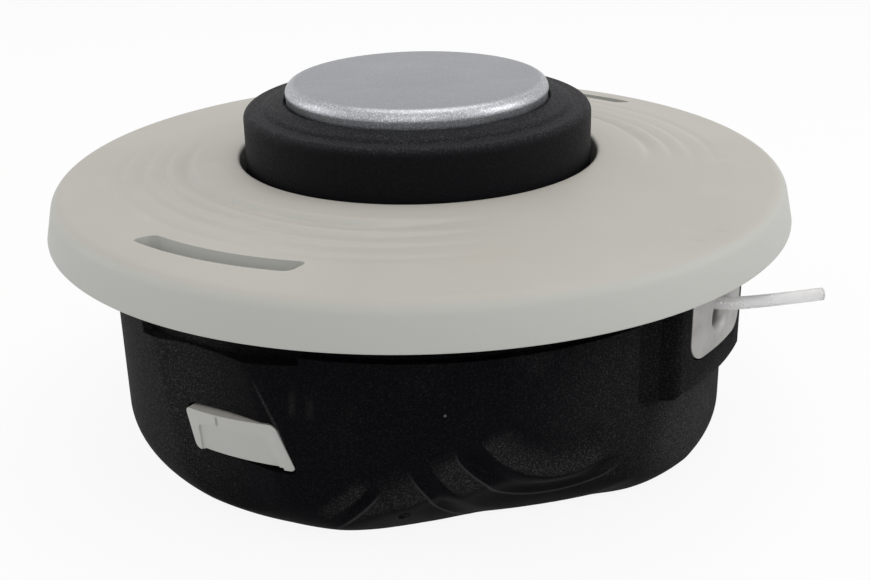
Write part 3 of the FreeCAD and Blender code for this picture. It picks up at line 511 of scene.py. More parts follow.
def black_plastic():
    """Black moulded plastic with a fine grain, dust with painted light on the waves, painted highlights on
    the scoop creases, hazes of dust with painted sheen, and scuffs by the eyelet.
    """
    material, tree, shader, place = new_material("black_plastic", Specular_IOR_Level=0.012)
    marks = use_group(tree, MARKS, place, Reach=14.0)
    grain = use_group(tree, GRAIN, place, Size=0.3, Coarse=0.3)
    fleck = grain["Fleck"]
    folded = one_half(tree, place)
    # Dust with painted light on the up-facing wave slopes, and painted highlight lines at their feet
    near = wave_dust_and_highlights(tree, folded, WAVE_CENTRE, WAVE_SLOPES, WAVE_HIGHLIGHT_LINES, WAVE_FADES)
    far = wave_dust_and_highlights(tree, folded, FAR_WAVE_CENTRE, FAR_WAVE_SLOPES, FAR_WAVE_HIGHLIGHT_LINES, FAR_WAVE_FADES)
    slopes, lines = [most(tree, *pair) for pair in zip(near, far)]
    # Handling marks, then hazes of dust with painted sheen
    dust_and_sheen = times(tree, marks["Rub"], 0.45)
    for azimuth, z, inner, outer, share in BLACK_DUST_AND_SHEEN:
        cloud = spot(tree, place, polar(WALL_RADIUS, azimuth, z), inner, outer)
        dust_and_sheen = most(tree, dust_and_sheen, times(tree, cloud, share))
    dust_and_painted_light = most(tree, slopes, times(tree, dust_and_sheen, 0.7))
    dust_and_painted_light = times(tree, dust_and_painted_light, math_node(tree, "MULTIPLY_ADD", fleck, 0.17, 0.05))
    dust_and_painted_light = math_node(tree, "MULTIPLY_ADD", fleck, 0.05, dust_and_painted_light)
    # Faces that look down get none of it, so the painted light lies only on faces that look up
    dust_and_painted_light = times(tree, dust_and_painted_light, facing_up(tree, -0.6, -0.1))
    # The fine lines at the waves' feet are painted highlights
    dust_and_painted_light = most(tree, dust_and_painted_light, times(tree, lines, 0.20))
    unrolled = unrolled_wall(tree, place)
    broken = math_node(tree, "MULTIPLY_ADD", fleck, 0.7, 0.4)
    # Scratches and painted crease highlights, broken up by the grain
    for start, end, width, share in BLACK_STREAKS:
        scratch_and_highlight = times(tree, streak(tree, unrolled, start, end, width), share)
        dust_and_painted_light = most(tree, dust_and_painted_light, times(tree, scratch_and_highlight, broken))
    speck = spot(tree, place, polar(WALL_RADIUS, *BLACK_SPECK), 0.1, 0.35)
    dust_and_painted_light = most(tree, dust_and_painted_light, times(tree, speck, 0.8))
    colour = blend_colour(tree, dust_and_painted_light, (0.0030, 0.0030, 0.0038), (0.13, 0.13, 0.128))
    coat(tree, shader, colour, marks["Rub"], 0.60, 0.72)
    bump(tree, shader, grain["Height"], 0.8, 0.12)
    return material


def knob_plastic():
    """Black plastic with the coarser leathery grain of the tap knob, its top painted lighter as sheen, with
    flecks of grain all over.
    """
    material, tree, shader, place = new_material("knob_plastic", Specular_IOR_Level=0.07)
    grain = use_group(tree, GRAIN, place, Size=0.36, Coarse=0.25)
    # Painted sheen: faces that look up are lightened, broken by the grain's flecks
    on_top = math_node(tree, "MULTIPLY_ADD", grain["Fleck"], 0.22, 0.04)
    all_over = times(tree, grain["Fleck"], 0.03)
    top_sheen_and_fleck = math_node(tree, "MULTIPLY_ADD", facing_up(tree, 0.3, 0.97), on_top, all_over)
    colour = blend_colour(tree, top_sheen_and_fleck, (0.0026, 0.0026, 0.0034), (0.105, 0.103, 0.118))
    coat(tree, shader, colour, grain["Fleck"], 0.58, 0.46)
    bump(tree, shader, grain["Height"], 1.0, 0.20)
    return material


def cap_metal():
    """Satin aluminium with a sandy sparkle, and a painted highlight that lightens its rolled edge."""
    material, tree, shader, place = new_material("cap_metal", Metallic=1.0)
    grain = use_group(tree, GRAIN, place, Size=0.27, Coarse=0.15)
    drift = use_group(tree, DRIFT, place, Reach=22.0)
    split = split_xyz(tree, place)
    flat = add(tree, "ShaderNodeCombineXYZ", {"X": split["X"], "Y": split["Y"]}).outputs["Vector"]
    reach = vector_math(tree, "LENGTH", flat)["Value"]
    # Painted highlight: the rolled edge is given a lighter colour
    edge = ramp(tree, reach, CAP_HIGHLIGHT_EDGE[0] * MM, CAP_HIGHLIGHT_EDGE[1] * MM)
    top = blend_colour(tree, grain["Fleck"], (0.245, 0.248, 0.266), (0.325, 0.328, 0.345))
    rolled = blend_colour(tree, grain["Fleck"], (0.31, 0.318, 0.335), (0.60, 0.61, 0.63))
    coat(tree, shader, blend_colour(tree, edge, top, rolled), drift["Factor"], 0.36, 0.44)
    bump(tree, shader, grain["Height"], 0.4, 0.10)
    return material


def drifting_material(name, reach, colours, roughness, grain=None, **constants):
    """A material with a slow drift of tone, and a grain of given size, coarseness, strength and depth."""
    material, tree, shader, place = new_material(name, **constants)
    drift = use_group(tree, DRIFT, place, Reach=reach)["Factor"]
    mask = drift
    if grain:
        pits = use_group(tree, GRAIN, place, Size=grain[0], Coarse=grain[1])
        mask = pits["Fleck"]
        bump(tree, shader, pits["Height"], *grain[2:])
    coat(tree, shader, blend_colour(tree, drift, *colours), mask, *roughness)
    return material


def plain_steel():
    """Bright drawn steel with faint drawing lines."""
    material, tree, shader, place = new_material("plain_steel", Metallic=1.0)
    lines = add(tree, "ShaderNodeMapping", {"Vector": place, "Scale": (400.0, 400.0, 2600.0)})
    drawn = noise(tree, lines.outputs["Vector"], 1.0, 2.0)
    colour = blend_colour(tree, drawn, (0.36, 0.36, 0.37), (0.52, 0.52, 0.53))
    tree.links.new(colour, shader.inputs["Base Color"])
    tree.links.new(ramp(tree, drawn, 0.3, 0.7, 0.28, 0.42), shader.inputs["Roughness"])
    return material


PALE = pale_plastic()
BLACK = black_plastic()
KNOB = knob_plastic()
CAP = cap_metal()
EYELET = drifting_material("eyelet_metal", 6.0, ((0.30, 0.292, 0.28), (0.37, 0.362, 0.35)), (0.54, 0.44),
                           (0.3, 0.3, 0.4, 0.06), Metallic=0.85)
NYLON = drifting_material("nylon_line", 5.0, ((0.80, 0.79, 0.79), (0.86, 0.85, 0.85)), (0.30, 0.22),
                          Transmission_Weight=0.4, IOR=1.53)
SPOOL = drifting_material("spool_plastic", 25.0, ((0.030, 0.030, 0.032), (0.042, 0.042, 0.044)), (0.5, 0.58),
                          (0.4, 0.4, 0.3, 0.06), Specular_IOR_Level=0.3)
STEEL = plain_steel()

NODE_MATERIALS = {
    "housing": BLACK, "cover": PALE, "release_latch_front": PALE, "release_latch_back": PALE,
    "tap_knob": KNOB, "wear_cap": CAP, "eyelet_right": EYELET, "eyelet_left": EYELET,
    "spool": SPOOL, "line_winding_upper": NYLON, "line_winding_lower": NYLON,
    "drive_insert": STEEL, "feed_spring": STEEL, "spring_washer": STEEL,
    "line_end_right": NYLON, "line_end_left": NYLON,
}


def dress_nodes():
    """Give every solid that is carried over its material."""
    for name, material in NODE_MATERIALS.items():
        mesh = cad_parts[name].data
        mesh.materials.clear()
        mesh.materials.append(material)


# Carved forms shared by the housing and what sits in it
UNDERCUT_AZIMUTH = -42.0
UNDERCUT_EDGE = 51.2
UNDERCUT_LEAN = 44.0
UNDERCUT_BLEND = 0.9
SCOOP_RADIUS = 80.0
SCOOP_BITE = 1.9
SCOOP_TILT = 33.0
SCOOP_AZIMUTH = -93.4
SCOOP_Z = 23.0
SCOOP_BLEND = 0.2
FLUTE_RADIUS = 2.8
FLUTE_REACH = 61.8
FLUTE_OFFSET = 16.8
FLUTE_BASE_Z = 21.5
FLUTE_BLEND = 0.3
FLUTE_BASE_BLEND = 0.8
BOSS_REACH = 67.1
BOSS_HALF = 14.3
BOSS_TOP_Z = 44.0
BOSS_BASE_Z = 19.5
BOSS_SLOPE = 3.0
BOSS_INNER = 59.7
BOSS_ROUND = 1.3
EYELET_Z = 35.0
SLEEVE_RADIUS = 4.2
RECESS_INNER = 17.0
RECESS_OUTER = 46.0
RECESS_DEPTH = 5.0
RECESS_RIB = 2.2
RECESS_RIBS = 10
INSERT_ACROSS = 19.0
INSERT_LENGTH = 16.0
SHAFT_ROOM_RADIUS = 7.0
SHAFT_ROOM_TOP = 24.0
PIN_HOLE_RADIUS = 1.2
PIN_HOLE_REACH = 59.8
PIN_HOLE_AZIMUTH = -59.0
PIN_HOLE_TOP = 11.0
LATCH_AZIMUTH = -88.0
LATCH_OUTLINE = ((-12.5, 21.7), (-10.1, 14.1), (12.6, 15.2), (8.7, 23.7))
LATCH_CORNER = 1.1
PANEL_OUTLINE = ((-9.1, 19.3), (-8.5, 12.4), (10.8, 12.4), (7.0, 20.5))
FOOT_OUTLINE = ((-8.3, 14.5), (-8.3, 10.5), (10.2, 11.5), (10.2, 15.55))
LATCH_FACE = 62.7
PANEL_FACE = 62.35
PANEL_CORNER = 0.7
FOOT_CORNER = 0.3
LATCH_EDGE = 0.16
TONGUE_INNER = 57.0
TONGUE_OUTER = 59.0
TONGUE_SPAN = 18.0
TONGUE_LOW = 14.2
TONGUE_TOP = 45.2
TONGUE_PLAY = 2.0
POCKET_PLAY = 3.0
POCKET_INNER = 53.0
POCKET_LOW = 13.2
WINDOW_GAP = 0.5
NOTCH_INNER = 60.2
NOTCH_AZIMUTHS = (-111.0, -99.5, -91.4, -84.5, -79.6, -74.7)
NOTCH_LEDGES = (32.6, 34.1, 34.6, 35.0, 35.6, 36.3)

# Lower corner of the housing: its round at angles over half a turn
CORNER_AZIMUTHS = (0.0, 22.0, 40.0, 60.0, 83.0, 100.0, 118.0, 149.0, 167.0, 180.0)
CORNER_ROUNDS = (6.0, 6.2, 8.6, 8.4, 8.2, 9.6, 9.6, 9.8, 8.6, 6.0)
SKIN_CORNER = 5.5
SKIN_STEPS = 720

# Every point of the skin below this height moves in towards one ring inside the corner
CARVE_RING = (45.0, 18.0)
CARVE_REACH = 14.0
CARVE_STEPS = 70


def smooth_max(first, second, width):
    """The larger of two fields, with the change between them rounded."""
    return 0.5 * (first + second + np.sqrt((first - second) ** 2 + width ** 2))


def ease(value, low, high):
    share = np.clip((value - low) / (high - low), 0.0, 1.0)
    return share * share * (3.0 - 2.0 * share)


def undercut_field(points, turn):
    """How far points lie beyond the slanting plane that trims the lower wall."""
    angle = math.radians(UNDERCUT_AZIMUTH + turn)
    lean = math.radians(UNDERCUT_LEAN)
    reach = points[:, 0] * math.cos(angle) + points[:, 1] * math.sin(angle)
    return (reach - UNDERCUT_EDGE) * math.cos(lean) - points[:, 2] * math.sin(lean)


def scoop_field(points, turn):
    """How deep points lie inside the thumb scoop, a slanting cylinder laid against the wall."""
    angle = math.radians(SCOOP_AZIMUTH + turn)
    tilt = math.radians(SCOOP_TILT)
    centre = np.array(polar(WALL_RADIUS + SCOOP_RADIUS - SCOOP_BITE, SCOOP_AZIMUTH + turn, SCOOP_Z))
    way = np.array((math.sin(angle) * math.sin(tilt), -math.cos(angle) * math.sin(tilt), math.cos(tilt)))
    away = points - centre
    away = away - np.outer(away @ way, way)
    return SCOOP_RADIUS - np.linalg.norm(away, axis=1)


def flute_field(points, turn, hand):
    """How deep points lie inside an upright flute beside an eyelet boss."""
    angle = math.radians(turn)
    x = FLUTE_REACH * math.cos(angle) - hand * FLUTE_OFFSET * math.sin(angle)
    y = FLUTE_REACH * math.sin(angle) + hand * FLUTE_OFFSET * math.cos(angle)
    inside = FLUTE_RADIUS - np.hypot(points[:, 0] - x, points[:, 1] - y)
    return -smooth_max(-inside, FLUTE_BASE_Z - points[:, 2], FLUTE_BASE_BLEND)


def housing_field(points):
    """Distance outside the housing's outer form: wall, rounded corner, undercuts, scoops and flutes."""
    radius = np.hypot(points[:, 0], points[:, 1])
    z = points[:, 2]
    azimuth = np.degrees(np.arctan2(points[:, 1], points[:, 0]))
    corner = np.interp(azimuth % 180.0, CORNER_AZIMUTHS, CORNER_ROUNDS)
    over = radius - (WALL_RADIUS - corner)
    under = corner - z
    rounded = np.hypot(np.maximum(over, 0.0), np.maximum(under, 0.0)) - corner
    field = np.where((over > 0) & (under > 0), rounded, np.maximum(radius - WALL_RADIUS, -z))
    for turn in HALVES.values():
        field = smooth_max(field, undercut_field(points, turn), UNDERCUT_BLEND)
        field = smooth_max(field, scoop_field(points, turn), SCOOP_BLEND)
        for hand in (-1, 1):
            field = smooth_max(field, flute_field(points, turn, hand), FLUTE_BLEND)
    return field


def wave_depth(points, centre, distances, depths, fades, turn):
    """Depth of the moulded waves, which lie like scales about a centre."""
    angle = math.radians(-turn)
    x = points[:, 0] * math.cos(angle) - points[:, 1] * math.sin(angle)
    y = points[:, 0] * math.sin(angle) + points[:, 1] * math.cos(angle)
    z = points[:, 2]
    distance = np.sqrt((x - centre[0]) ** 2 + (y - centre[1]) ** 2 + (z - centre[2]) ** 2)
    way = np.degrees(np.arctan2(y, x)) - math.degrees(math.atan2(centre[1], centre[0]))
    across = WALL_RADIUS * np.radians((way + 180.0) % 360.0 - 180.0)
    from_down = np.degrees(np.arctan2(across, centre[2] - z))
    shown = ease(from_down, fades[0], fades[1]) * (1.0 - ease(from_down, fades[2], fades[3]))
    shown *= WAVE_FOOT[2] + (1.0 - WAVE_FOOT[2]) * ease(z, WAVE_FOOT[0], WAVE_FOOT[1])
    return np.interp(distance, distances, depths) * shown * (np.abs(across) < WALL_RADIUS)


def carve_skin(bm):
    """Move the housing's plain outer skin in to its carved form."""
    centre = WALL_RADIUS - SKIN_CORNER

    def is_skin(vert):
        radius = math.hypot(vert.co.x, vert.co.y)
        z = vert.co.z
        if radius > WALL_RADIUS - 1e-2 or (z < 1e-3 and radius > RECESS_OUTER + 0.5):
            return True
        if radius <= centre or z >= SKIN_CORNER:
            return False
        return abs(math.hypot(radius - centre, z - SKIN_CORNER) - SKIN_CORNER) < 1e-2

    skin = [vert for vert in bm.verts if is_skin(vert)]
    points = np.array([vert.co for vert in skin])
    radius = np.hypot(points[:, 0], points[:, 1])
    inward = CARVE_RING[0] - radius
    upward = np.maximum(CARVE_RING[1] - points[:, 2], 0.0)
    ways = np.column_stack((points[:, 0] / radius * inward, points[:, 1] / radius * inward, upward))
    ways /= np.linalg.norm(ways, axis=1)[:, None]
    reach = np.zeros(len(points))
    before = housing_field(points)
    done = before <= 0
    step = CARVE_REACH / CARVE_STEPS
    for index in range(CARVE_STEPS):
        after = housing_field(points + ways * ((index + 1) * step))
        crossing = ~done & (after <= 0)
        share = before[crossing] / (before[crossing] - after[crossing])
        reach[crossing] = (index + share) * step
        done |= crossing
        before = after
    carved = points + ways * reach[:, None]
    depth = np.zeros(len(points))
    for turn in HALVES.values():
        near = wave_depth(carved, WAVE_CENTRE, WAVE_DISTANCES, WAVE_DEPTHS, WAVE_FADES, turn)
        far = wave_depth(carved, FAR_WAVE_CENTRE, FAR_WAVE_DISTANCES, FAR_WAVE_DEPTHS, FAR_WAVE_FADES, turn)
        depth += np.maximum(near, far)
    carved += ways * depth[:, None]
    for vert, place in zip(skin, carved):
        vert.co = place


def spin_all(bm, angle, steps, climb=0.0):
    """Sweep a flat face about the spin axis, climbing at each step."""
    bmesh.ops.spin(bm, geom=bm.verts[:] + bm.edges[:] + bm.faces[:], axis=(0, 0, 1), cent=(0, 0, 0),
                   dvec=(0, 0, climb), angle=angle, steps=steps)
    bmesh.ops.recalc_face_normals(bm, faces=bm.faces)
    return bm


def sector(inner, outer, low, high, start, end, count=24):
    """A block over a sector of a ring."""
    bm = bmesh.new()
    corners = ((inner, low), (outer, low), (outer, high), (inner, high))
    bm.faces.new([bm.verts.new(polar(radius, start, z)) for radius, z in corners])
    return spin_all(bm, math.radians(end - start), count)


def latch_sector(inner, outer, low, high, play, turn):
    """A block round a latch's tongue, with play at both sides."""
    half = TONGUE_SPAN / 2 + play
    middle = LATCH_AZIMUTH + turn
    return sector(inner, outer, low, high, middle - half, middle + half)


def disc_outline(radius, count=48, centre=(0.0, 0.0)):
    angles = [math.tau * i / count for i in range(count)]
    return [(centre[0] + radius * math.cos(a), centre[1] + radius * math.sin(a)) for a in angles]


def stood(bm):
    """Lay a block over, so that its outline faces outwards along X and its height runs along X."""
    laid = Matrix(((0, 0, 1, 0), (1, 0, 0, 0), (0, 1, 0, 0), (0, 0, 0, 1)))
    bmesh.ops.transform(bm, matrix=laid, verts=bm.verts)
    return bm


def grown(outline, grow):
    """An outline across and up, with each corner moved out from its middle."""
    middle = np.mean(outline, axis=0)
    moved = []
    for x, z in outline:
        moved.append((x + math.copysign(grow, x - middle[0]), z + math.copysign(grow, z - middle[1])))
    return moved


def front_edges(bm, reach):
    """The sharp edges of a block that lie beyond a radius."""
    def is_front(edge):
        return all(math.hypot(vert.co.x, vert.co.y) > reach for vert in edge.verts)
    return [edge for edge in bm.edges if is_front(edge) and edge.calc_face_angle(0.0) > SHARP_EDGE]


def make_boss(turn):
    """The lobe behind an eyelet, curved like the wall, with soft edges and a foot that slopes in."""
    half = math.degrees(math.asin(BOSS_HALF / BOSS_REACH))
    bm = sector(BOSS_INNER, BOSS_REACH, BOSS_BASE_Z, BOSS_TOP_Z, -half, half, 20)
    slope = BOSS_SLOPE / (BOSS_REACH - RIM_RADIUS)
    for vert in bm.verts:
        if vert.co.z < BOSS_BASE_Z + 1e-3:
            vert.co.z += slope * max(math.hypot(vert.co.x, vert.co.y) - RIM_RADIUS, 0.0)
    soften(bm, front_edges(bm, BOSS_REACH - 0.1), BOSS_ROUND, 5)
    return turn_about_axis(bm, turn)


def make_notch(turn):
    """A cutter for the gap above a latch, whose ledge slopes round the wall."""
    ledge = min(NOTCH_LEDGES)
    bm = sector(NOTCH_INNER, BOSS_REACH, ledge, RIM_Z + 1.0, NOTCH_AZIMUTHS[0], NOTCH_AZIMUTHS[-1], 60)
    for vert in bm.verts:
        if vert.co.z < ledge + 1e-3:
            azimuth = math.degrees(math.atan2(vert.co.y, vert.co.x))
            vert.co.z = float(np.interp(azimuth, NOTCH_AZIMUTHS, NOTCH_LEDGES))
    return turn_about_axis(bm, turn)


def make_housing():
    """The black cup: turned, its skin carved, then bosses added and openings cut."""
    centre = WALL_RADIUS - SKIN_CORNER
    profile = span((0.0, TOWER_Z), (TOWER_RADIUS, TOWER_Z), 2)
    profile += span((TOWER_RADIUS, TOWER_Z), (TOWER_RADIUS, FLOOR_Z), 3)
    profile += span((TOWER_RADIUS, FLOOR_Z), (CAVITY_RADIUS, FLOOR_Z), 4)
    profile += span((CAVITY_RADIUS, FLOOR_Z), (CAVITY_RADIUS, CAVITY_STEP_Z), 3)
    profile += [(CAVITY_RADIUS, CAVITY_STEP_Z), (RIM_INNER, CAVITY_STEP_Z), (RIM_INNER, RIM_Z),
                (RIM_RADIUS, RIM_Z), (RIM_RADIUS, WALL_TOP_Z)]
    profile += span((WALL_RADIUS, WALL_TOP_Z), (WALL_RADIUS, SKIN_CORNER), 46)
    profile += arc((centre, SKIN_CORNER), SKIN_CORNER, 0.0, -90.0, 14)
    profile += span((centre - 0.7, 0.0), (RECESS_OUTER + 0.4, 0.0), 14)
    profile += [(RECESS_OUTER + 0.4, 0.0), (RECESS_INNER, 0.0), (0.0, 0.0)]
    bm = turned(profile, SKIN_STEPS)
    carve_skin(bm)
    bm = combine(bm, merged([make_boss(turn) for turn in EYELETS.values()]), "UNION")
    openings = []
    rooms = [slab(disc_outline(SHAFT_ROOM_RADIUS), INSERT_LENGTH - 0.5, SHAFT_ROOM_TOP)]
    for turn in HALVES.values():
        outline = grown(LATCH_OUTLINE, WINDOW_GAP)
        window = stood(slab(outline, POCKET_INNER - 1.0, BOSS_REACH, LATCH_CORNER + WINDOW_GAP))
        openings.append(turn_about_axis(window, LATCH_AZIMUTH + turn))
        openings.append(make_notch(turn))
        pin = polar(PIN_HOLE_REACH, PIN_HOLE_AZIMUTH + turn)
        openings.append(slab(disc_outline(PIN_HOLE_RADIUS, 24, tuple(pin.xy)), -1.0, PIN_HOLE_TOP))
        pocket = latch_sector(POCKET_INNER, RIM_INNER, POCKET_LOW, CAVITY_STEP_Z + 0.2, POCKET_PLAY, turn)
        rooms.append(pocket)
    for turn in EYELETS.values():
        ring = disc_outline(SLEEVE_RADIUS + 0.05, 48, (0.0, EYELET_Z))
        openings.append(turn_about_axis(stood(slab(ring, CAVITY_RADIUS, BOSS_REACH + 1.0)), turn))
        rooms.append(turn_about_axis(plate_form(SEAT_GAP, BOSS_REACH + 2.0), turn))
    openings.append(slab(disc_outline(INSERT_ACROSS / math.sqrt(3.0), 6), -1.0, INSERT_LENGTH))
    pitch = 360.0 / RECESS_RIBS
    for index in range(RECESS_RIBS):
        openings.append(recess_room(index * pitch, pitch))
    bm = combine(bm, merged(openings), "DIFFERENCE")
    bm = combine(bm, merged(rooms), "DIFFERENCE")
    piece("moulded_housing", bm, "head", BLACK, "housing", 32.0)


def recess_room(start, pitch):
    """One of the hollows under the floor, between two ribs."""
    outline = []
    for radius, way in ((RECESS_OUTER, 1), (RECESS_INNER, -1)):
        rib = math.degrees(math.asin(RECESS_RIB / 2 / radius))
        angles = np.linspace(start + rib, start + pitch - rib, 13)[::way]
        outline += [tuple(polar(radius, a).xy) for a in angles]
    return slab(outline, -1.0, RECESS_DEPTH)


# Cover disc

SLOT_RADIUS = 61.45
SLOT_WIDTH = 3.85
SLOT_AZIMUTH = -85.3
SLOT_SPAN = 30.4
SLOT_SHEAR = 1.8
SLOT_SKEW = -4.0
SLOT_CORNER = 1.6
# Ripples: angles where they begin, are full, begin to fade and end; drift outwards; depth against radius
RIPPLE_AZIMUTHS = (-162.0, -130.0, -74.0, -36.0)
RIPPLE_DRIFT = (85.0, 135.0, 2.2)
RIPPLE_RADII = (43.1, 43.7, 44.3, 45.0, 46.4, 47.8, 48.4, 49.0, 50.4,
                52.0, 52.6, 53.3, 54.8, 56.4, 57.0, 57.8, 59.6)
RIPPLE_DEPTHS = (0.0, 0.50, 1.02, 0.92, 0.40, 0.10, 0.34, 0.70, 0.34,
                 0.08, 0.26, 0.52, 0.24, 0.06, 0.15, 0.34, 0.0)


def disc_top(radius):
    slope = (HOLE_Z - CREASE_Z) / (CREASE_RADIUS - HOLE_RADIUS)
    return HOLE_Z - (radius - HOLE_RADIUS) * slope


def press_ripples(bm):
    """Press shallow ring waves into the disc's top, deepest in the middle of each half."""
    for vert in bm.verts:
        radius = math.hypot(vert.co.x, vert.co.y)
        on_top = HOLE_RADIUS + 2.0 < radius < CREASE_RADIUS - 3.0 and abs(vert.co.z - disc_top(radius)) < 0.05
        if not on_top:
            continue
        azimuth = math.degrees(math.atan2(vert.co.y, vert.co.x))
        for turn in HALVES.values():
            way = (azimuth - turn - RIPPLE_AZIMUTHS[0]) % 360.0 + RIPPLE_AZIMUTHS[0]
            shown = ease(way, RIPPLE_AZIMUTHS[0], RIPPLE_AZIMUTHS[1])
            shown *= 1.0 - ease(way, RIPPLE_AZIMUTHS[2], RIPPLE_AZIMUTHS[3])
            drift = RIPPLE_DRIFT[2] * ease(-way, RIPPLE_DRIFT[0], RIPPLE_DRIFT[1])
            vert.co.z -= float(shown * np.interp(radius - drift, RIPPLE_RADII, RIPPLE_DEPTHS))


def make_slot(turn):
    """A cutter for one arc slot with slanted, rounded ends."""
    outline = []
    for radius, hand in ((SLOT_RADIUS + SLOT_WIDTH, -1), (SLOT_RADIUS, 1)):
        middle = hand * SLOT_SHEAR / 2
        angles = np.linspace(middle - SLOT_SPAN / 2, middle + SLOT_SPAN / 2, 25)[::-hand]
        outline += [tuple(polar(radius, a).xy + Vector((0.0, SLOT_SKEW))) for a in angles]
    bm = slab(outline, BRIM_Z, HOLE_Z + 4.0)
    ends = []
    for edge in bm.edges:
        upright = abs(edge.verts[0].co.z - edge.verts[1].co.z) > 1e-6
        if upright and edge.calc_face_angle(0.0) > SHARP_EDGE:
            ends.append(edge)
    soften(bm, ends, SLOT_CORNER, 6)
    return turn_about_axis(bm, SLOT_AZIMUTH + turn)


def make_cover():
    """The pale disc: turned with rounded brim, crease and hole lip, rippled on top and slotted."""
    under_crease = CREASE_RADIUS - COVER_WALL
    collar = HOLE_RADIUS + COVER_WALL
    top_outer = CREASE_RADIUS - CREASE_SET
    top_inner = HOLE_RADIUS + HOLE_SET
    profile = [(DISC_RADIUS, BRIM_Z), (CREASE_RADIUS, CREASE_Z)]
    profile += span((top_outer, disc_top(top_outer)), (top_inner, disc_top(top_inner)), TOP_ROWS)
    profile += [(top_inner, disc_top(top_inner)), (HOLE_RADIUS, HOLE_Z),
                (HOLE_RADIUS, HOLE_Z - COLLAR_DEPTH), (collar, HOLE_Z - COLLAR_DEPTH),
                (collar, disc_top(collar) - COVER_WALL), (SKIRT_INNER, disc_top(SKIRT_INNER) - COVER_WALL),
                (SKIRT_INNER, SKIRT_Z), (SKIRT_OUTER, SKIRT_Z), (SKIRT_OUTER, RIM_Z), (RIM_RADIUS, RIM_Z),
                (RIM_RADIUS, disc_top(RIM_RADIUS) - COVER_WALL),
                (under_crease, disc_top(under_crease) - COVER_WALL), (DISC_RADIUS - COVER_WALL, BRIM_Z)]
    bm = turned(profile, DISC_STEPS)
    soften(bm, ring_edges(bm, CREASE_RADIUS, CREASE_Z), CREASE_ROUND, 8)
    soften(bm, ring_edges(bm, HOLE_RADIUS, HOLE_Z), HOLE_ROUND, 4)
    soften(bm, ring_edges(bm, DISC_RADIUS, BRIM_Z), BRIM_ROUND, 3)
    soften(bm, ring_edges(bm, DISC_RADIUS - COVER_WALL, BRIM_Z), BRIM_ROUND, 2)
    press_ripples(bm)
    cutters = [make_slot(turn) for turn in HALVES.values()]
    for turn in HALVES.values():
        gap = latch_sector(SKIRT_INNER - 0.1, SKIRT_OUTER + 0.1, SKIRT_Z - 1.0, RIM_Z, TONGUE_PLAY, turn)
        cutters.append(gap)
    bm = combine(bm, merged(cutters), "DIFFERENCE")
    piece("cover_disc", bm, "head", PALE, "cover")


# Tap knob and its cap

KNOB_RADIUS = 35.0
KNOB_FOOT_Z = 44.5
KNOB_SHOULDER_Z = 66.2
KNOB_INNER = 31.7
KNOB_ROOF_Z = 63.7
KNOB_PLATEAU_Z = 69.6
KNOB_SEAT_Z = 67.7
KNOB_GROOVE_Z = 66.7
KNOB_GROOVE = (23.6, 26.7)
KNOB_CREASE = ((31.3, 66.3), (30.7, 66.85), (30.2, 67.0))
KNOB_ROUND = 1.6
KNOB_CREASE_ROUND = 0.3
KNOB_SEAT_ROUND = 0.5
KNOB_STEPS = 240
CAP_RADIUS = 26.45
CAP_TOP_Z = 71.1
CAP_DOME_Z = 71.6
CAP_FOOT_Z = 66.8
CAP_FOOT_RADIUS = 26.2
CAP_INNER = 23.7
CAP_ROLL = 2.0
CAP_ROLL_ANGLES = (-14.0, 86.0)


def make_knob():
    """The tap knob, with a soft shoulder, a crease ring and a seat for the cap."""
    profile = [(KNOB_RADIUS, KNOB_FOOT_Z), (KNOB_RADIUS, KNOB_SHOULDER_Z), *KNOB_CREASE,
               (KNOB_GROOVE[1], KNOB_SEAT_Z), (KNOB_GROOVE[1], KNOB_GROOVE_Z),
               (KNOB_GROOVE[0], KNOB_GROOVE_Z), (KNOB_GROOVE[0], KNOB_PLATEAU_Z), (0.0, KNOB_PLATEAU_Z),
               (0.0, KNOB_ROOF_Z), (KNOB_INNER, KNOB_ROOF_Z), (KNOB_INNER, KNOB_FOOT_Z)]
    bm = turned(profile, KNOB_STEPS)
    soften(bm, ring_edges(bm, KNOB_RADIUS, KNOB_SHOULDER_Z), KNOB_ROUND, 8)
    soften(bm, ring_edges(bm, *KNOB_CREASE[0]), KNOB_CREASE_ROUND, 3)
    soften(bm, ring_edges(bm, KNOB_GROOVE[1], KNOB_SEAT_Z), KNOB_SEAT_ROUND, 3)
    piece("knob", bm, "spool_and_knob", KNOB, "tap_knob")


def make_cap():
    """The pressed metal cap with its rolled edge."""
    roll = CAP_RADIUS - CAP_ROLL
    profile = [(CAP_FOOT_RADIUS, CAP_FOOT_Z)]
    profile += arc((roll, CAP_TOP_Z - CAP_ROLL), CAP_ROLL, *CAP_ROLL_ANGLES, 16)
    profile += span((roll - 1.0, CAP_TOP_Z + 0.04), (0.0, CAP_DOME_Z), 8)
    profile += [(0.0, CAP_DOME_Z), (0.0, KNOB_PLATEAU_Z)]
    profile += [(CAP_INNER, KNOB_PLATEAU_Z), (CAP_INNER, CAP_FOOT_Z)]
    bm = turned(profile, KNOB_STEPS)
    piece("metal_cap", bm, "spool_and_knob", CAP, "wear_cap")


# Eyelets

EYELET_HALF = 11.0
EYELET_PLATE = 1.5
EYELET_BASE_Z = 28.4
EYELET_CORNER = 4.0
EYELET_FACE = 67.2
EYELET_BORE = 2.7
EYELET_FLARE = 2.2
EYELET_ROUND = 0.4
SEAT_GAP = 0.2


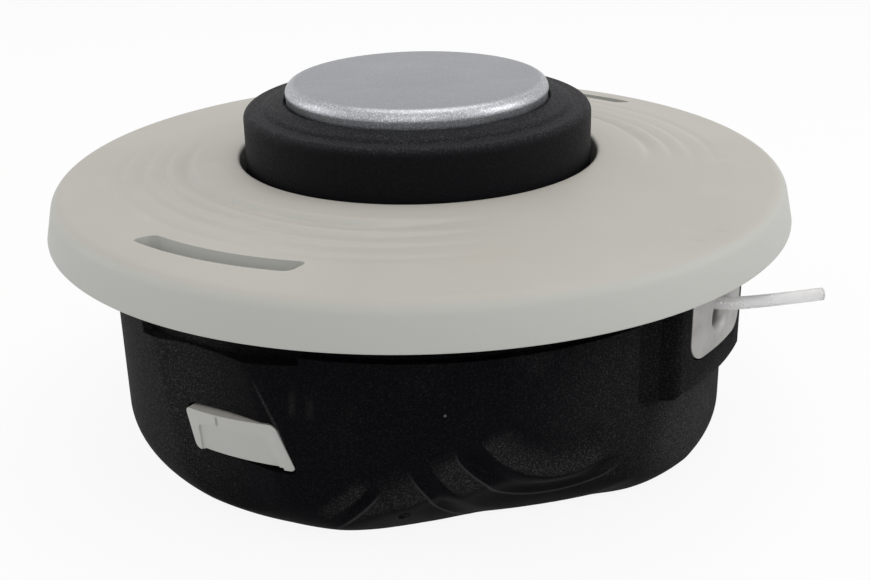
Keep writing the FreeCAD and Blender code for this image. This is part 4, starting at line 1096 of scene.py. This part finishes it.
def plate_form(grow, outer):
    """An eyelet's face plate, curved about the spin axis and rounded at its lower corners."""
    half = EYELET_HALF + grow
    low = EYELET_BASE_Z - grow
    outline = [(-half, BOSS_TOP_Z)]
    outline += arc((-half + EYELET_CORNER, low + EYELET_CORNER), EYELET_CORNER, 180.0, 270.0, 8)
    outline += arc((half - EYELET_CORNER, low + EYELET_CORNER), EYELET_CORNER, 270.0, 360.0, 8)
    outline += [(half, BOSS_TOP_Z)]
    block = stood(slab(outline, CAVITY_RADIUS, BOSS_REACH + 5.0))
    ring = sector(BOSS_REACH - EYELET_PLATE - grow, outer, EYELET_BASE_Z - 5.0, BRIM_Z, -20.0, 20.0, 48)
    return combine(block, ring, "INTERSECT")


def make_eyelet(side, turn):
    """A metal eyelet: curved face plate with soft edges, sleeve and trumpet mouth."""
    plate = plate_form(0.0, EYELET_FACE)
    soften(plate, front_edges(plate, EYELET_FACE - 0.05), EYELET_ROUND, 3)
    sleeve = stood(slab(disc_outline(SLEEVE_RADIUS, 48, (0.0, EYELET_Z)), RIM_INNER, EYELET_FACE - 0.8))
    bm = combine(plate, sleeve, "UNION")
    throat = EYELET_FACE - EYELET_FLARE
    wide = EYELET_BORE + EYELET_FLARE
    profile = [(wide, EYELET_FACE + 0.5)]
    for angle in np.linspace(0.0, math.pi / 2, 9):
        profile.append((wide - EYELET_FLARE * math.sin(angle), throat + EYELET_FLARE * math.cos(angle)))
    profile += [(EYELET_BORE, RIM_INNER - 1.0), (0.0, RIM_INNER - 1.0), (0.0, EYELET_FACE + 0.5)]
    bore = turn_about_axis(turned(profile, 64), 90.0, "Y")
    bmesh.ops.translate(bore, vec=(0, 0, EYELET_Z), verts=bore.verts)
    bm = combine(bm, bore, "DIFFERENCE")
    piece("metal_eyelet_" + side, turn_about_axis(bm, turn), "head", EYELET, "eyelet_" + side)


# Release latches

def make_latch(side, turn):
    """A snap tongue with the framed nose that shows in the housing's window."""
    nose = stood(slab(LATCH_OUTLINE, TONGUE_INNER - 4.0, BOSS_REACH, LATCH_CORNER))
    nose = combine(nose, sector(TONGUE_INNER, LATCH_FACE, 0.0, BRIM_Z, -45.0, 45.0, 90), "INTERSECT")
    panel = stood(slab(PANEL_OUTLINE, TONGUE_INNER - 4.0, BOSS_REACH, PANEL_CORNER))
    core = sector(TONGUE_INNER - 6.0, PANEL_FACE, 0.0, BRIM_Z, -45.0, 45.0, 90)
    nose = combine(nose, combine(panel, core, "DIFFERENCE"), "DIFFERENCE")
    strip = stood(slab(FOOT_OUTLINE, TONGUE_OUTER + 0.1, BOSS_REACH, FOOT_CORNER))
    nose = combine(nose, strip, "DIFFERENCE")
    sharp = [edge for edge in nose.edges if edge.calc_face_angle(0.0) > 0.6]
    soften(nose, sharp, LATCH_EDGE, 2)
    tongue = sector(TONGUE_INNER, TONGUE_OUTER, TONGUE_LOW, TONGUE_TOP, -TONGUE_SPAN / 2, TONGUE_SPAN / 2)
    bm = turn_about_axis(combine(nose, tongue, "UNION"), LATCH_AZIMUTH + turn)
    piece("press_latch_" + side, bm, "latch_" + side, PALE, "release_latch_" + side)


# Feed spring

SPRING_RADIUS = 10.6
SPRING_WIRE = 1.6
SPRING_LOW = 34.1
SPRING_HIGH = 53.8
SPRING_TURNS = 5.5
SPRING_STEPS = 198


def make_spring():
    """The compression spring, a wound wire that shortens as the knob is tapped."""
    bm = bmesh.new()
    bmesh.ops.create_circle(bm, cap_ends=True, radius=SPRING_WIRE / 2, segments=14)
    turn_about_axis(bm, 90.0, "X")
    bmesh.ops.translate(bm, vec=(SPRING_RADIUS, 0, SPRING_LOW + SPRING_WIRE / 2), verts=bm.verts)
    climb = (SPRING_HIGH - SPRING_LOW - SPRING_WIRE) / SPRING_STEPS
    spin_all(bm, math.tau * SPRING_TURNS, SPRING_STEPS, climb)
    spring = piece("wound_spring", bm, "head", STEEL, "feed_spring")
    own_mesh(spring)


# Line ends

def make_line_end(side, turn):
    """A clean-cut line end as one smooth spline."""
    curve = bpy.data.curves.new("nylon_line_" + side, "CURVE")
    curve.dimensions = "3D"
    curve.bevel_depth = LINE_DIAMETER / 2 * MM
    curve.bevel_resolution = 8
    curve.use_fill_caps = True
    curve.resolution_u = 16
    spline = curve.splines.new("NURBS")
    spline.points.add(len(LINE_ROUTE) - 1)
    spin = Matrix.Rotation(math.radians(turn), 3, "Z")
    for point, place in zip(spline.points, LINE_ROUTE):
        point.co = (*(spin @ Vector(place) * MM), 1.0)
    spline.order_u = 3
    spline.use_endpoint_u = True
    curve.materials.append(NYLON)
    line = stand("nylon_line_" + side, curve)
    line.modifiers.new("closed_rings", "WELD").merge_threshold = 0.01 * MM
    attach(line, "head")
    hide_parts("line_end_" + side)


# Stage

def make_floor():
    """A pale floor that shows white and still takes the head's soft shadow."""
    bm = bmesh.new()
    bmesh.ops.create_grid(bm, x_segments=1, y_segments=1, size=FLOOR_HALF * MM)
    mesh = bpy.data.meshes.new("floor")
    bm.to_mesh(mesh)
    bm.free()
    floor = stand("floor", mesh)
    material = bpy.data.materials.new("pale_floor")
    material.use_nodes = True
    tree = material.node_tree
    tree.nodes.clear()
    seen = seen_directly(tree)
    matt = add(tree, "ShaderNodeBsdfDiffuse", {"Color": (0.86, 0.86, 0.86, 1.0)})
    white = add(tree, "ShaderNodeEmission", {"Color": (1.0, 1.0, 1.0, 1.0), "Strength": 1.0})
    share = times(tree, seen, FLOOR_WHITE_SHARE)
    mixed = add(tree, "ShaderNodeMixShader", {0: share, 1: matt.outputs[0], 2: white.outputs[0]})
    add(tree, "ShaderNodeOutputMaterial", {"Surface": mixed.outputs[0]})
    mesh.materials.append(material)


def seen_directly(tree):
    """One where the background is seen by the camera, by a reflection or through clear material."""
    path = add(tree, "ShaderNodeLightPath")
    mirror = most(tree, path.outputs["Is Camera Ray"], path.outputs["Is Glossy Ray"])
    return most(tree, mirror, path.outputs["Is Transmission Ray"])


def make_world():
    world = bpy.data.worlds.new("studio")
    bpy.context.scene.world = world
    world.use_nodes = True
    tree = world.node_tree
    tree.nodes.clear()
    strength = math_node(tree, "MULTIPLY_ADD", seen_directly(tree), 1.0 - AMBIENT, AMBIENT)
    sky = add(tree, "ShaderNodeBackground", {"Color": (1.0, 1.0, 1.0, 1.0), "Strength": strength})
    add(tree, "ShaderNodeOutputWorld", {"Surface": sky.outputs[0]})


def make_lamp(name, place, size, power, tint):
    """A soft square lamp aimed at the head."""
    data = bpy.data.lights.new(name, "AREA")
    data.shape = "SQUARE"
    data.size = size * MM
    data.energy = power
    data.color = tint
    lamp = stand(name, data)
    lamp.location = Vector(place) * MM
    aim = Vector((0, 0, BRIM_Z)) - Vector(place)
    lamp.rotation_mode = "QUATERNION"
    lamp.rotation_quaternion = aim.to_track_quat("-Z", "Y")


def make_camera():
    """The camera, placed round the spin axis and turned to frame the head."""
    pitch = math.radians(CAMERA_PITCH)
    yaw = math.radians(CAMERA_YAW)
    roll = math.radians(CAMERA_ROLL)
    rise = math.radians(CAMERA_ELEVATION)
    ahead = Vector((math.sin(yaw) * math.cos(pitch), math.cos(yaw) * math.cos(pitch), -math.sin(pitch)))
    level = Vector((math.cos(yaw), -math.sin(yaw), 0.0))
    up = level.cross(ahead)
    right = math.cos(roll) * level + math.sin(roll) * up
    above = right.cross(ahead)
    facing = Matrix((right, above, -ahead)).transposed()
    place = Vector((0.0, -CAMERA_DISTANCE * math.cos(rise), BRIM_Z + CAMERA_DISTANCE * math.sin(rise)))
    round_axis = Matrix.Rotation(math.radians(CAMERA_AZIMUTH), 3, "Z")
    data = bpy.data.cameras.new("camera")
    data.lens = CAMERA_LENS
    data.sensor_width = SENSOR_WIDTH
    data.clip_start = 0.01
    camera = stand("camera", data)
    camera.matrix_world = Matrix.Translation(round_axis @ place * MM) @ (round_axis @ facing).to_4x4()
    bpy.context.scene.camera = camera


dress_nodes()
make_housing()
make_cover()
make_knob()
make_cap()
make_spring()
for side, turn in EYELETS.items():
    make_line_end(side, turn)
    make_eyelet(side, turn)
for side, turn in HALVES.items():
    make_latch(side, turn)
make_floor()
make_world()
for lamp in LAMPS:
    make_lamp(*lamp)
make_camera()
bpy.context.scene.view_settings.view_transform = "Standard"
